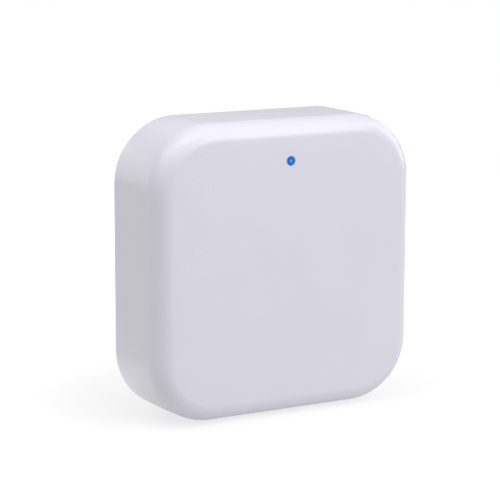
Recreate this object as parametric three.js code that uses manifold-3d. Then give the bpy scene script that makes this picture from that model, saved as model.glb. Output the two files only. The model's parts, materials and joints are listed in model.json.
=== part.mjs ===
// Smart home hub: a palm-sized gateway in a rounded square case that stands on its narrow lower side.
// Units are millimetres. +Z is up, the front faces -Y, and the origin is at the centre of the footprint.
import * as THREE from 'three';
import { mergeVertices } from 'three/addons/utils/BufferGeometryUtils.js';
import Module from 'manifold-3d';

const wasm = await Module();
wasm.setup();

// ---- Driving dimensions ------------------------------------------------------------------------

const CASE_SIZE = 70;              // width and height of the case
const SHELL_DEPTH = 22.0;          // front face to rear rim
const FOOT_PROUD = 0.8;            // how far the rear feet stand out of the rim
const CORNER_RADIUS = 15.6;        // corners of the square, seen from the front
const FRONT_ROUND_INSET = 4.4;     // front rounding, measured across the front face
const FRONT_ROUND_DEPTH = 5.9;     // front rounding, measured along the sides
const REAR_ROUND = 0.66;           // small rounding of the rear rim
const WALL = 2.0;                  // wall of the shell

const FRONT_Y = -(SHELL_DEPTH + FOOT_PROUD) / 2;
const RIM_Y = FRONT_Y + SHELL_DEPTH;
const CENTRE_Z = CASE_SIZE / 2;
const HALF_SIZE = CASE_SIZE / 2;
const INNER_FRONT_Y = FRONT_Y + WALL;
const INNER_HALF = HALF_SIZE - WALL;

const COVER_THICK = 2.0;           // rear cover plate
const COVER_LEDGE = 0.8;           // width of the ledge that carries the cover
const COVER_GAP = 0.2;             // parting gap round the cover
const COVER_FRONT_Y = RIM_Y - COVER_THICK;

const SCREW_OFFSET = 25;           // case screws from the centre, both ways
const CASE_BOSS_RADIUS = 3.0;
const CASE_PILOT_RADIUS = 1.15;
const CASE_PILOT_DEPTH = 11;
const CUP_RADIUS = 4.2;            // screw cups on the rear cover
const CUP_END_Y = 6.0;             // where cup and boss meet
const COUNTERBORE_RADIUS = 2.8;
const CASE_CLEARANCE_RADIUS = 1.5;
const CASE_HEAD_RADIUS = 2.5;
const CASE_HEAD_HEIGHT = 1.5;
const CASE_SHANK_RADIUS = 1.05;
const CASE_SCREW_LENGTH = 10;
const CASE_HEAD_SEAT_Y = 7.5;
const GUSSET_THICK = 1.2;
const GUSSET_LENGTH = 6.0;
const GUSSET_OVERLAP = 1.0;        // how far a gusset runs into its boss
const GUSSET_BELOW_BOSS = 2.0;     // how far a gusset stops short of the boss's end

const FOOT_RADIUS = 4.0;
const FOOT_RECESS_RADIUS = 4.3;
const FOOT_RECESS_DEPTH = 0.9;
const FOOT_EDGE_ROUND = 0.4;

const LABEL_WIDTH = 26;
const LABEL_HEIGHT = 13;
const LABEL_THICK = 0.1;
const LABEL_RECESS = 0.2;
const LABEL_GAP = 0.3;
const LABEL_CORNER = 1.0;
const LABEL_Z = CENTRE_Z - 15;

const BOARD_FRONT_Y = -1.5;
const BOARD_THICK = 1.6;
const BOARD_REAR_Y = BOARD_FRONT_Y + BOARD_THICK;
const BOARD_LEFT = -29;
const BOARD_RIGHT = 31;
const BOARD_HALF_HEIGHT = 28;
const BOARD_NOTCH = 20.6;          // corner notches clear the case bosses beyond this offset
const BOARD_HOLE_RADIUS = 1.15;
const BOARD_POST_RADIUS = 2.6;
const BOARD_PILOT_RADIUS = 0.85;
const BOARD_PILOT_DEPTH = 6;
const BOARD_SCREW_HEAD_RADIUS = 1.9;
const BOARD_SCREW_HEAD_HEIGHT = 1.3;
const BOARD_SCREW_SHANK_RADIUS = 0.75;
const BOARD_SCREW_LENGTH = 6;
const BOARD_POSTS = [[-24.6, 24], [24, 21], [24, 49]];

const LIGHT_Z = CENTRE_Z + 25.4;
const LIGHT_PIPE_RADIUS = 1.1;
const LIGHT_HOLE_RADIUS = 1.2;
const LIGHT_TUBE_RADIUS = 2.3;
const LIGHT_TUBE_END_Y = -5.2;
const LIGHT_FLANGE_RADIUS = 1.9;
const LIGHT_FLANGE_THICK = 0.8;
const LIGHT_PIPE_END_Y = -2.7;
const LIGHT_FRONT_RECESS = 0.05;
const GASKET_INNER_RADIUS = 1.5;
const GASKET_OUTER_RADIUS = 2.5;

const INLET_WIDTH = 8.94;          // power inlet, outside of its metal shell
const INLET_HEIGHT = 3.26;
const INLET_LENGTH = 7.3;
const INLET_WALL = 0.3;
const INLET_MOUTH_X = 33.4;
const INLET_TONGUE_WIDTH = 6.7;
const INLET_TONGUE_THICK = 0.7;
const INLET_TONGUE_INSET = 0.9;
const INLET_ROOT_THICK = 1.9;      // thick root of the tongue, at the back of the shell
const INLET_ROOT_LENGTH = 1.4;
const INLET_Y = BOARD_REAR_Y + INLET_HEIGHT / 2;
const INLET_CLEARANCE = 0.25;
const PLUG_RECESS_WIDTH = 13.4;
const PLUG_RECESS_HEIGHT = 7.6;
const PLUG_RECESS_DEPTH = 1.2;

const BUTTON_Z = CENTRE_Z + 9;
const BUTTON_RADIUS = 3.0;
const BUTTON_HOLE_RADIUS = 3.25;
const BUTTON_FLANGE_RADIUS = 4.0;
const BUTTON_FLANGE_THICK = 0.8;
const BUTTON_FLANGE_GAP = 0.1;
const BUTTON_BELOW_FACE = 0.3;
const BUTTON_STEM_RADIUS = 1.3;
const BUTTON_EDGE_ROUND = 0.4;
const SWITCH_SIZE = 6;
const SWITCH_BODY_HEIGHT = 3.5;
const SWITCH_CORNER = 0.5;
const SWITCH_BORE_RADIUS = 1.9;
const SWITCH_BORE_DEPTH = 1.2;
const PLUNGER_RADIUS = 1.7;
const PLUNGER_TOP_Y = 4.5;
const PLUNGER_BOTTOM_GAP = 0.5;
const PRESS_GAP = 0.05;            // between button stem and plunger at rest

const SHIELD_SHEET = 0.25;
const SHIELD_CORNER = 0.6;
const PART_CORNER = 0.2;           // corners of the flat parts on the board
const CUT_PAST = 1;                // how far a cutting tool runs past the face that it opens
const ROUND_MIDDLE = 1 - Math.SQRT1_2;  // where the middle of a quarter round lies, as a share of its radius

const CORNER_SEGMENTS = 16;
const FRONT_ROUND_SEGMENTS = 8;
const INNER_ROUND_SEGMENTS = 4;
const REAR_ROUND_SEGMENTS = 2;
const CIRCLE_SEGMENTS = 28;
const SMALL_CIRCLE_SEGMENTS = 18;
const STADIUM_SEGMENTS = 8;
const PART_CORNER_SEGMENTS = 3;

// ---- Materials ---------------------------------------------------------------------------------

const COLOURS = {
  shellWhite: { color: 0xe4e3ea, roughness: 0.42, metalness: 0 },
  coverWhite: { color: 0xdedde4, roughness: 0.5, metalness: 0 },
  rubber: { color: 0x9a9aa0, roughness: 0.85, metalness: 0 },
  label: { color: 0xf2f2f2, roughness: 0.6, metalness: 0 },
  lightPipe: { color: 0x2f7fe0, roughness: 0.25, metalness: 0 },
  foam: { color: 0x222326, roughness: 0.95, metalness: 0 },
  zincSteel: { color: 0xb9bcc2, roughness: 0.35, metalness: 0.9 },
  shieldSteel: { color: 0xc4c6c8, roughness: 0.3, metalness: 0.95 },
  board: { color: 0x1f5d3a, roughness: 0.5, metalness: 0 },
  moduleBoard: { color: 0x14202c, roughness: 0.5, metalness: 0 },
  chip: { color: 0x1b1b1d, roughness: 0.55, metalness: 0 },
  ferrite: { color: 0x3b3c3f, roughness: 0.8, metalness: 0 },
  capacitorCan: { color: 0xbfc3c8, roughness: 0.3, metalness: 0.9 },
  fuse: { color: 0x2c6b45, roughness: 0.5, metalness: 0 },
  light: { color: 0xe9f2ff, roughness: 0.3, metalness: 0 },
  switchBlack: { color: 0x1d1d1f, roughness: 0.5, metalness: 0 },
};

const material = Object.fromEntries(
  Object.entries(COLOURS).map(([name, values]) => [name, new THREE.MeshStandardMaterial(values)]),
);

// ---- Outlines, in the plane of the front face (x across, y up) -----------------------------------

function arcPoints(centreX, centreY, radius, fromAngle, toAngle, segments) {
  const points = [];
  for (let i = 0; i <= segments; i += 1) {
    const angle = fromAngle + ((toAngle - fromAngle) * i) / segments;
    points.push(new THREE.Vector2(centreX + radius * Math.cos(angle), centreY + radius * Math.sin(angle)));
  }
  return points;
}

function roundedRectangle(width, height, radius, centreX = 0, centreY = 0, segments = 6) {
  const x = width / 2 - radius;
  const y = height / 2 - radius;
  const corners = [[x, y], [-x, y], [-x, -y], [x, -y]];
  const points = corners.flatMap(([cornerX, cornerY], quarter) => {
    const start = (quarter * Math.PI) / 2;
    const end = start + Math.PI / 2;
    return arcPoints(centreX + cornerX, centreY + cornerY, radius, start, end, segments);
  });
  // A stadium's arcs share their end points, so repeated points are dropped.
  return points.filter((point, i) => point.distanceTo(points[(i + 1) % points.length]) > 1e-6);
}

function circle(radius, centreX, centreY, segments = CIRCLE_SEGMENTS) {
  return arcPoints(centreX, centreY, radius, 0, 2 * Math.PI, segments).slice(0, segments);
}

function caseOutline(inset) {
  const size = CASE_SIZE - 2 * inset;
  return roundedRectangle(size, size, CORNER_RADIUS - inset, 0, CENTRE_Z, CORNER_SEGMENTS);
}

// ---- Solids ------------------------------------------------------------------------------------

// Extrudes an outline in x and z from yFrom (front) to yTo (rear).
function extrudeAlongY(outline, yFrom, yTo) {
  const geometry = new THREE.ExtrudeGeometry(new THREE.Shape(outline), {
    depth: yTo - yFrom,
    bevelEnabled: false,
  });
  return geometry.rotateX(Math.PI / 2).translate(0, yTo, 0);
}

// Extrudes an outline in y and z from xFrom to xTo.
function extrudeAlongX(outline, xFrom, xTo) {
  const geometry = new THREE.ExtrudeGeometry(new THREE.Shape(outline), {
    depth: xTo - xFrom,
    bevelEnabled: false,
  });
  return geometry.rotateX(Math.PI / 2).rotateZ(Math.PI / 2).translate(xFrom, 0, 0);
}

// The rounded block of the case between two planes, inset all round. The front edge is an ellipse.
function caseBlock(inset, frontY, rearY, roundInset, roundDepth, segments) {
  const geometry = new THREE.ExtrudeGeometry(new THREE.Shape(caseOutline(inset)), {
    depth: rearY - frontY,
    bevelEnabled: true,
    bevelThickness: roundDepth,
    bevelSize: roundInset,
    bevelOffset: -roundInset,
    bevelSegments: segments,
  });
  return toSolid(geometry.rotateX(Math.PI / 2).translate(0, rearY, 0));
}

// Turns a profile of [radius, y] pairs about an axis along Y through (x, z).
function turnAboutY(profile, x, z, segments = CIRCLE_SEGMENTS) {
  const points = profile.map(([radius, y]) => new THREE.Vector2(radius, y));
  return new THREE.LatheGeometry(points, segments).translate(x, 0, z);
}

function rodAlongY(radius, yFrom, yTo, x, z, segments = CIRCLE_SEGMENTS) {
  return extrudeAlongY(circle(radius, x, z, segments), yFrom, yTo);
}

function block(xFrom, xTo, yFrom, yTo, zFrom, zTo) {
  const geometry = new THREE.BoxGeometry(xTo - xFrom, yTo - yFrom, zTo - zFrom);
  return geometry.translate((xFrom + xTo) / 2, (yFrom + yTo) / 2, (zFrom + zTo) / 2);
}

function toSolid(geometry) {
  const bare = geometry.index ? geometry.toNonIndexed() : geometry.clone();
  bare.deleteAttribute('normal');
  bare.deleteAttribute('uv');
  const merged = mergeVertices(bare, 1e-4);
  return new wasm.Manifold(new wasm.Mesh({
    numProp: 3,
    vertProperties: Float32Array.from(merged.attributes.position.array),
    triVerts: Uint32Array.from(merged.index.array),
  }));
}

function toGeometry(solid) {
  const { vertProperties, triVerts } = solid.getMesh();
  const geometry = new THREE.BufferGeometry();
  geometry.setAttribute('position', new THREE.BufferAttribute(vertProperties, 3));
  geometry.setIndex(new THREE.BufferAttribute(triVerts, 1));
  geometry.computeVertexNormals();
  return geometry;
}

function join(...geometries) {
  return geometries.map(toSolid).reduce((all, solid) => all.add(solid));
}

function mesh(name, shape, surface) {
  const geometry = shape instanceof THREE.BufferGeometry ? shape : toGeometry(shape);
  const piece = new THREE.Mesh(geometry, surface);
  piece.name = name;
  return piece;
}

// ---- Case --------------------------------------------------------------------------------------

const SCREW_PLACES = [[-1, -1], [1, -1], [-1, 1], [1, 1]].map(([sideX, sideZ]) => (
  { x: sideX * SCREW_OFFSET, z: CENTRE_Z + sideZ * SCREW_OFFSET, sideX, sideZ }
));

function inletOutline(width, height) {
  return roundedRectangle(height, width, height / 2, INLET_Y, CENTRE_Z, STADIUM_SEGMENTS);
}

// A thin web from a case boss out to the corner wall.
function gusset({ x, z, sideX, sideZ }) {
  const depth = CUP_END_Y - GUSSET_BELOW_BOSS - INNER_FRONT_Y;
  const web = new THREE.BoxGeometry(GUSSET_LENGTH, depth, GUSSET_THICK);
  web.translate(CASE_BOSS_RADIUS - GUSSET_OVERLAP + GUSSET_LENGTH / 2, 0, 0);
  web.rotateY(-Math.atan2(sideZ, sideX));
  return web.translate(x, INNER_FRONT_Y + depth / 2, z);
}

function frontShell() {
  const frontRoundEnd = FRONT_Y + FRONT_ROUND_DEPTH;
  const outerFront = caseBlock(0, frontRoundEnd, RIM_Y, FRONT_ROUND_INSET, FRONT_ROUND_DEPTH,
    FRONT_ROUND_SEGMENTS);
  const outerRear = caseBlock(0, FRONT_Y, RIM_Y - REAR_ROUND, REAR_ROUND, REAR_ROUND,
    REAR_ROUND_SEGMENTS);
  const cavity = caseBlock(WALL, frontRoundEnd, RIM_Y, FRONT_ROUND_INSET - WALL,
    FRONT_ROUND_DEPTH - WALL, INNER_ROUND_SEGMENTS);
  const coverSeat = extrudeAlongY(caseOutline(WALL - COVER_LEDGE), COVER_FRONT_Y, RIM_Y + CUT_PAST);
  let shell = outerFront.intersect(outerRear).subtract(cavity).subtract(toSolid(coverSeat));

  const frontSkin = INNER_FRONT_Y - WALL / 2;
  const lightTube = rodAlongY(LIGHT_TUBE_RADIUS, frontSkin, LIGHT_TUBE_END_Y, 0, LIGHT_Z);
  shell = shell.add(toSolid(lightTube));
  for (const place of SCREW_PLACES) {
    const boss = rodAlongY(CASE_BOSS_RADIUS, frontSkin, CUP_END_Y, place.x, place.z);
    const web = toSolid(gusset(place)).intersect(outerFront);
    shell = shell.add(toSolid(boss)).add(web);
  }
  for (const [x, z] of BOARD_POSTS) {
    shell = shell.add(toSolid(rodAlongY(BOARD_POST_RADIUS, frontSkin, BOARD_FRONT_Y, x, z)));
  }

  const casePilots = SCREW_PLACES.map(({ x, z }) => (
    rodAlongY(CASE_PILOT_RADIUS, CUP_END_Y - CASE_PILOT_DEPTH, CUP_END_Y + CUT_PAST, x, z,
      SMALL_CIRCLE_SEGMENTS)
  ));
  const boardPilots = BOARD_POSTS.map(([x, z]) => (
    rodAlongY(BOARD_PILOT_RADIUS, BOARD_FRONT_Y - BOARD_PILOT_DEPTH, BOARD_FRONT_Y + CUT_PAST, x, z,
      SMALL_CIRCLE_SEGMENTS)
  ));
  const lightHole = rodAlongY(LIGHT_HOLE_RADIUS, FRONT_Y - CUT_PAST, LIGHT_TUBE_END_Y + CUT_PAST, 0,
    LIGHT_Z);
  const inletHole = extrudeAlongX(
    inletOutline(INLET_WIDTH + 2 * INLET_CLEARANCE, INLET_HEIGHT + 2 * INLET_CLEARANCE),
    INNER_HALF - CUT_PAST, HALF_SIZE + CUT_PAST,
  );
  const plugRecess = extrudeAlongX(
    inletOutline(PLUG_RECESS_WIDTH, PLUG_RECESS_HEIGHT),
    HALF_SIZE - PLUG_RECESS_DEPTH, HALF_SIZE + CUT_PAST,
  );
  return [...casePilots, ...boardPilots, lightHole, inletHole, plugRecess]
    .reduce((solid, cut) => solid.subtract(toSolid(cut)), shell);
}

function rearCover() {
  const plate = extrudeAlongY(caseOutline(WALL - COVER_LEDGE + COVER_GAP), COVER_FRONT_Y, RIM_Y);
  let cover = toSolid(plate);
  for (const { x, z } of SCREW_PLACES) {
    cover = cover.add(toSolid(rodAlongY(CUP_RADIUS, CUP_END_Y, COVER_FRONT_Y + CUT_PAST, x, z)));
  }
  const screwCuts = SCREW_PLACES.flatMap(({ x, z }) => [
    rodAlongY(FOOT_RECESS_RADIUS, RIM_Y - FOOT_RECESS_DEPTH, RIM_Y + CUT_PAST, x, z),
    rodAlongY(COUNTERBORE_RADIUS, CASE_HEAD_SEAT_Y, RIM_Y, x, z),
    rodAlongY(CASE_CLEARANCE_RADIUS, CUP_END_Y - CUT_PAST, CASE_HEAD_SEAT_Y + CUT_PAST, x, z,
      SMALL_CIRCLE_SEGMENTS),
  ]);
  const buttonHole = rodAlongY(BUTTON_HOLE_RADIUS, COVER_FRONT_Y - CUT_PAST, RIM_Y + CUT_PAST, 0, BUTTON_Z);
  const labelRecess = extrudeAlongY(
    roundedRectangle(LABEL_WIDTH + 2 * LABEL_GAP, LABEL_HEIGHT + 2 * LABEL_GAP, LABEL_CORNER + LABEL_GAP,
      0, LABEL_Z),
    RIM_Y - LABEL_RECESS, RIM_Y + CUT_PAST,
  );
  return [...screwCuts, buttonHole, labelRecess]
    .reduce((solid, cut) => solid.subtract(toSolid(cut)), cover);
}

// Shape of every screw, as shares of its shank radius, head radius or head height.
const SCREW_POINT_LENGTH = 1.5;    // of the shank radius
const SCREW_TIP_RADIUS = 0.5;
const SCREW_TIP_LENGTH = 0.3;
const SCREW_HEAD_SIDE = 0.55;      // of the head height
const SCREW_HEAD_SHOULDER = 0.9;
const SCREW_SHOULDER_RADIUS = 0.8; // of the head radius
const SCREW_CROWN_RADIUS = 0.5;
const SCREW_SLOT_REACH = 0.55;
const SCREW_SLOT_HALF = 0.12;
const SCREW_SLOT_DEPTH = 0.55;     // of the head height

// A screw along Y with its head at the rear, its seat at seatY and its point towards the front.
function screw(headRadius, headHeight, shankRadius, length, seatY, x, z) {
  const tipY = seatY - length;
  const topY = seatY + headHeight;
  const body = turnAboutY([
    [0, tipY],
    [shankRadius * SCREW_TIP_RADIUS, tipY + shankRadius * SCREW_TIP_LENGTH],
    [shankRadius, tipY + shankRadius * SCREW_POINT_LENGTH],
    [shankRadius, seatY],
    [headRadius, seatY],
    [headRadius, seatY + headHeight * SCREW_HEAD_SIDE],
    [headRadius * SCREW_SHOULDER_RADIUS, seatY + headHeight * SCREW_HEAD_SHOULDER],
    [headRadius * SCREW_CROWN_RADIUS, topY],
    [0, topY],
  ], x, z, SMALL_CIRCLE_SEGMENTS);
  const reach = headRadius * SCREW_SLOT_REACH;
  const half = headRadius * SCREW_SLOT_HALF;
  const floorY = topY - headHeight * SCREW_SLOT_DEPTH;
  const slotAcross = block(x - reach, x + reach, floorY, topY + CUT_PAST, z - half, z + half);
  const slotUp = block(x - half, x + half, floorY, topY + CUT_PAST, z - reach, z + reach);
  return toSolid(body).subtract(join(slotAcross, slotUp));
}

function caseScrew({ x, z }) {
  return screw(CASE_HEAD_RADIUS, CASE_HEAD_HEIGHT, CASE_SHANK_RADIUS, CASE_SCREW_LENGTH,
    CASE_HEAD_SEAT_Y, x, z);
}

function rearFoot({ x, z }) {
  const frontY = RIM_Y - FOOT_RECESS_DEPTH;
  const rearY = RIM_Y + FOOT_PROUD;
  return turnAboutY([
    [0, frontY],
    [FOOT_RADIUS, frontY],
    [FOOT_RADIUS, rearY - FOOT_EDGE_ROUND],
    [FOOT_RADIUS - FOOT_EDGE_ROUND * ROUND_MIDDLE, rearY - FOOT_EDGE_ROUND * ROUND_MIDDLE],
    [FOOT_RADIUS - FOOT_EDGE_ROUND, rearY],
    [0, rearY],
  ], x, z);
}

function ratingLabel() {
  const frontY = RIM_Y - LABEL_RECESS;
  return extrudeAlongY(roundedRectangle(LABEL_WIDTH, LABEL_HEIGHT, LABEL_CORNER, 0, LABEL_Z), frontY,
    frontY + LABEL_THICK);
}

function resetButton() {
  const outerY = RIM_Y - BUTTON_BELOW_FACE;
  const flangeRearY = COVER_FRONT_Y - BUTTON_FLANGE_GAP;
  const flangeFrontY = flangeRearY - BUTTON_FLANGE_THICK;
  return turnAboutY([
    [0, PLUNGER_TOP_Y + PRESS_GAP],
    [BUTTON_STEM_RADIUS, PLUNGER_TOP_Y + PRESS_GAP],
    [BUTTON_STEM_RADIUS, flangeFrontY],
    [BUTTON_FLANGE_RADIUS, flangeFrontY],
    [BUTTON_FLANGE_RADIUS, flangeRearY],
    [BUTTON_RADIUS, flangeRearY],
    [BUTTON_RADIUS, outerY - BUTTON_EDGE_ROUND],
    [BUTTON_RADIUS - BUTTON_EDGE_ROUND * ROUND_MIDDLE, outerY - BUTTON_EDGE_ROUND * ROUND_MIDDLE],
    [BUTTON_RADIUS - BUTTON_EDGE_ROUND, outerY],
    [0, outerY],
  ], 0, BUTTON_Z);
}

// ---- Light -------------------------------------------------------------------------------------

function lightPipe() {
  return turnAboutY([
    [0, FRONT_Y + LIGHT_FRONT_RECESS],
    [LIGHT_PIPE_RADIUS, FRONT_Y + LIGHT_FRONT_RECESS],
    [LIGHT_PIPE_RADIUS, LIGHT_TUBE_END_Y],
    [LIGHT_FLANGE_RADIUS, LIGHT_TUBE_END_Y],
    [LIGHT_FLANGE_RADIUS, LIGHT_TUBE_END_Y + LIGHT_FLANGE_THICK],
    [LIGHT_PIPE_RADIUS, LIGHT_TUBE_END_Y + LIGHT_FLANGE_THICK],
    [LIGHT_PIPE_RADIUS, LIGHT_PIPE_END_Y],
    [0, LIGHT_PIPE_END_Y],
  ], 0, LIGHT_Z);
}

function lightGasket() {
  const frontY = LIGHT_TUBE_END_Y + LIGHT_FLANGE_THICK;
  return turnAboutY([
    [GASKET_INNER_RADIUS, frontY],
    [GASKET_OUTER_RADIUS, frontY],
    [GASKET_OUTER_RADIUS, BOARD_FRONT_Y],
    [GASKET_INNER_RADIUS, BOARD_FRONT_Y],
    [GASKET_INNER_RADIUS, frontY],
  ], 0, LIGHT_Z);
}

// ---- Circuit board -----------------------------------------------------------------------------

function boardOutline() {
  const top = CENTRE_Z + BOARD_HALF_HEIGHT;
  const bottom = CENTRE_Z - BOARD_HALF_HEIGHT;
  const notchTop = CENTRE_Z + BOARD_NOTCH;
  const notchBottom = CENTRE_Z - BOARD_NOTCH;
  const corners = [
    [BOARD_RIGHT, notchBottom], [BOARD_RIGHT, notchTop],
    [BOARD_NOTCH, notchTop], [BOARD_NOTCH, top],
    [-BOARD_NOTCH, top], [-BOARD_NOTCH, notchTop],
    [BOARD_LEFT, notchTop], [BOARD_LEFT, notchBottom],
    [-BOARD_NOTCH, notchBottom], [-BOARD_NOTCH, bottom],
    [BOARD_NOTCH, bottom], [BOARD_NOTCH, notchBottom],
  ];
  return corners.map(([x, z]) => new THREE.Vector2(x, z));
}

function mainBoard() {
  const holes = BOARD_POSTS.map(([x, z]) => (
    rodAlongY(BOARD_HOLE_RADIUS, BOARD_FRONT_Y - CUT_PAST, BOARD_REAR_Y + CUT_PAST, x, z,
      SMALL_CIRCLE_SEGMENTS)
  ));
  const plate = toSolid(extrudeAlongY(boardOutline(), BOARD_FRONT_Y, BOARD_REAR_Y));
  return holes.reduce((solid, hole) => solid.subtract(toSolid(hole)), plate);
}

function boardScrew([x, z]) {
  return screw(BOARD_SCREW_HEAD_RADIUS, BOARD_SCREW_HEAD_HEIGHT, BOARD_SCREW_SHANK_RADIUS,
    BOARD_SCREW_LENGTH, BOARD_REAR_Y, x, z);
}

// A flat part on the front of the board. Its standoff is the height of what it sits on.
function onFront({ x, z, width, height, thick, standoff = 0, corner = PART_CORNER }) {
  const rearY = BOARD_FRONT_Y - standoff;
  return extrudeAlongY(roundedRectangle(width, height, corner, x, z, PART_CORNER_SEGMENTS), rearY - thick,
    rearY);
}

function onRear({ x, z, width, height, thick, corner = PART_CORNER }) {
  return extrudeAlongY(roundedRectangle(width, height, corner, x, z, PART_CORNER_SEGMENTS), BOARD_REAR_Y,
    BOARD_REAR_Y + thick);
}

// A folded shield can: open towards the board, with a drawn top.
function shieldCan(can) {
  const outside = toSolid(onFront({ ...can, corner: SHIELD_CORNER }));
  const inside = toSolid(onFront({
    ...can,
    width: can.width - 2 * SHIELD_SHEET,
    height: can.height - 2 * SHIELD_SHEET,
    thick: can.thick - SHIELD_SHEET + CUT_PAST,
    standoff: can.standoff - CUT_PAST,
    corner: SHIELD_CORNER - SHIELD_SHEET,
  }));
  return outside.subtract(inside);
}

// The stamped antenna: a strip parallel to the board on two legs that stand on it.
function radioAntenna() {
  const sheet = 0.3;
  const rise = 4.0;
  const stripLeft = 6;
  const stripRight = 19.5;
  const stripBottom = CENTRE_Z + 23.6;
  const stripHeight = 3;
  const stripTop = stripBottom + stripHeight;
  const legWidth = 1.2;
  const legSpacing = 3.4;
  const stripY = BOARD_FRONT_Y - rise;
  const strip = block(stripLeft, stripRight, stripY, stripY + sheet, stripBottom, stripTop);
  const legs = [stripLeft, stripLeft + legSpacing].map((left) => (
    block(left, left + legWidth, stripY, BOARD_FRONT_Y, stripBottom, stripBottom + sheet)
  ));
  return join(strip, ...legs);
}

// ---- Power inlet and reset switch --------------------------------------------------------------

function inletShell() {
  const rearX = INLET_MOUTH_X - INLET_LENGTH;
  const outside = extrudeAlongX(inletOutline(INLET_WIDTH, INLET_HEIGHT), rearX, INLET_MOUTH_X);
  const inside = extrudeAlongX(
    inletOutline(INLET_WIDTH - 2 * INLET_WALL, INLET_HEIGHT - 2 * INLET_WALL),
    rearX + INLET_WALL, INLET_MOUTH_X + CUT_PAST,
  );
  return toSolid(outside).subtract(toSolid(inside));
}

function inletTongue() {
  const rearX = INLET_MOUTH_X - INLET_LENGTH + INLET_WALL;
  const halfThick = INLET_TONGUE_THICK / 2;
  const halfWidth = INLET_TONGUE_WIDTH / 2;
  const tongue = block(rearX, INLET_MOUTH_X - INLET_TONGUE_INSET, INLET_Y - halfThick,
    INLET_Y + halfThick, CENTRE_Z - halfWidth, CENTRE_Z + halfWidth);
  const halfRoot = INLET_ROOT_THICK / 2;
  const root = block(rearX, rearX + INLET_ROOT_LENGTH, INLET_Y - halfRoot, INLET_Y + halfRoot,
    CENTRE_Z - halfWidth, CENTRE_Z + halfWidth);
  return join(tongue, root);
}

function switchBody() {
  const body = onRear({
    x: 0,
    z: BUTTON_Z,
    width: SWITCH_SIZE,
    height: SWITCH_SIZE,
    thick: SWITCH_BODY_HEIGHT,
    corner: SWITCH_CORNER,
  });
  const top = BOARD_REAR_Y + SWITCH_BODY_HEIGHT;
  const bore = rodAlongY(SWITCH_BORE_RADIUS, top - SWITCH_BORE_DEPTH, top + CUT_PAST, 0, BUTTON_Z);
  return toSolid(body).subtract(toSolid(bore));
}

function switchPlunger() {
  const boreFloor = BOARD_REAR_Y + SWITCH_BODY_HEIGHT - SWITCH_BORE_DEPTH;
  return rodAlongY(PLUNGER_RADIUS, boreFloor + PLUNGER_BOTTOM_GAP, PLUNGER_TOP_Y, 0, BUTTON_Z);
}

// ---- Parts on the board ------------------------------------------------------------------------

const MODULE_BOARD_THICK = 0.8;
const WIFI_BOARD = { x: -15.5, z: 43, width: 25.5, height: 18, thick: MODULE_BOARD_THICK };
const WIFI_SHIELD = { x: -12.6, z: 43, width: 17.6, height: 16, thick: 2.4, standoff: MODULE_BOARD_THICK };
const RADIO_BOARD = { x: 12, z: 44, width: 14, height: 17, thick: MODULE_BOARD_THICK };
const RADIO_SHIELD = { x: 12, z: 42.4, width: 12, height: 12, thick: 2.1, standoff: MODULE_BOARD_THICK };
const PROCESSOR = { x: -9, z: 22, width: 9, height: 9, thick: 0.9 };
const FLASH_CHIP = { x: 2, z: 22, width: 5.2, height: 5.2, thick: 1.6 };
const CRYSTAL = { x: -9, z: 14, width: 3.2, height: 2.5, thick: 0.8 };
const STATUS_LIGHT = { x: 0, z: LIGHT_Z, width: 1.6, height: 0.8, thick: 0.7, corner: 0.1 };
const FUSE = { x: 17, z: 40, width: 4.6, height: 3.2, thick: 1.0 };
const REGULATOR = { x: 16, z: 30, width: 4, height: 4, thick: 0.9 };
const INDUCTOR = { x: 14, z: 21, width: 6, height: 6, thick: 3, corner: 1 };

const CAPACITOR_RADIUS = 3.15;
const CAPACITOR_HEIGHT = 5.6;
const CAPACITOR_BASE = { x: 13, z: 16, width: 6.6, height: 6.6, thick: 0.8, corner: 0.5 };

function bulkCapacitor() {
  const { x, z, thick } = CAPACITOR_BASE;
  const can = rodAlongY(CAPACITOR_RADIUS, BOARD_FRONT_Y - CAPACITOR_HEIGHT, BOARD_FRONT_Y - thick / 2, x, z);
  return join(can, onFront(CAPACITOR_BASE));
}

// ---- Assembly ----------------------------------------------------------------------------------

const casing = [
  mesh('front_shell', frontShell(), material.shellWhite),
  mesh('rear_cover', rearCover(), material.coverWhite),
  ...SCREW_PLACES.map((place, i) => mesh(`case_screw_${i + 1}`, caseScrew(place), material.zincSteel)),
  ...SCREW_PLACES.map((place, i) => mesh(`rear_foot_${i + 1}`, rearFoot(place), material.rubber)),
  mesh('rating_label', ratingLabel(), material.label),
  mesh('light_pipe', lightPipe(), material.lightPipe),
  mesh('light_gasket', lightGasket(), material.foam),
];

const electronics = [
  mesh('main_board', mainBoard(), material.board),
  ...BOARD_POSTS.map((post, i) => mesh(`board_screw_${i + 1}`, boardScrew(post), material.zincSteel)),
  mesh('wifi_module_board', onFront(WIFI_BOARD), material.moduleBoard),
  mesh('wifi_shield', shieldCan(WIFI_SHIELD), material.shieldSteel),
  mesh('radio_module_board', onFront(RADIO_BOARD), material.moduleBoard),
  mesh('radio_shield', shieldCan(RADIO_SHIELD), material.shieldSteel),
  mesh('radio_antenna', radioAntenna(), material.shieldSteel),
  mesh('processor', onFront(PROCESSOR), material.chip),
  mesh('flash_chip', onFront(FLASH_CHIP), material.chip),
  mesh('crystal', onFront(CRYSTAL), material.shieldSteel),
  mesh('status_light', onFront(STATUS_LIGHT), material.light),
  mesh('bulk_capacitor', bulkCapacitor(), material.capacitorCan),
  mesh('fuse', onRear(FUSE), material.fuse),
  mesh('voltage_regulator', onRear(REGULATOR), material.chip),
  mesh('power_inductor', onRear(INDUCTOR), material.ferrite),
  mesh('inlet_shell', inletShell(), material.shieldSteel),
  mesh('inlet_tongue', inletTongue(), material.switchBlack),
  mesh('switch_body', switchBody(), material.switchBlack),
];

const movingPieces = [
  mesh('reset_button', resetButton(), material.coverWhite),
  mesh('switch_plunger', switchPlunger(), material.switchBlack),
];

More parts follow.
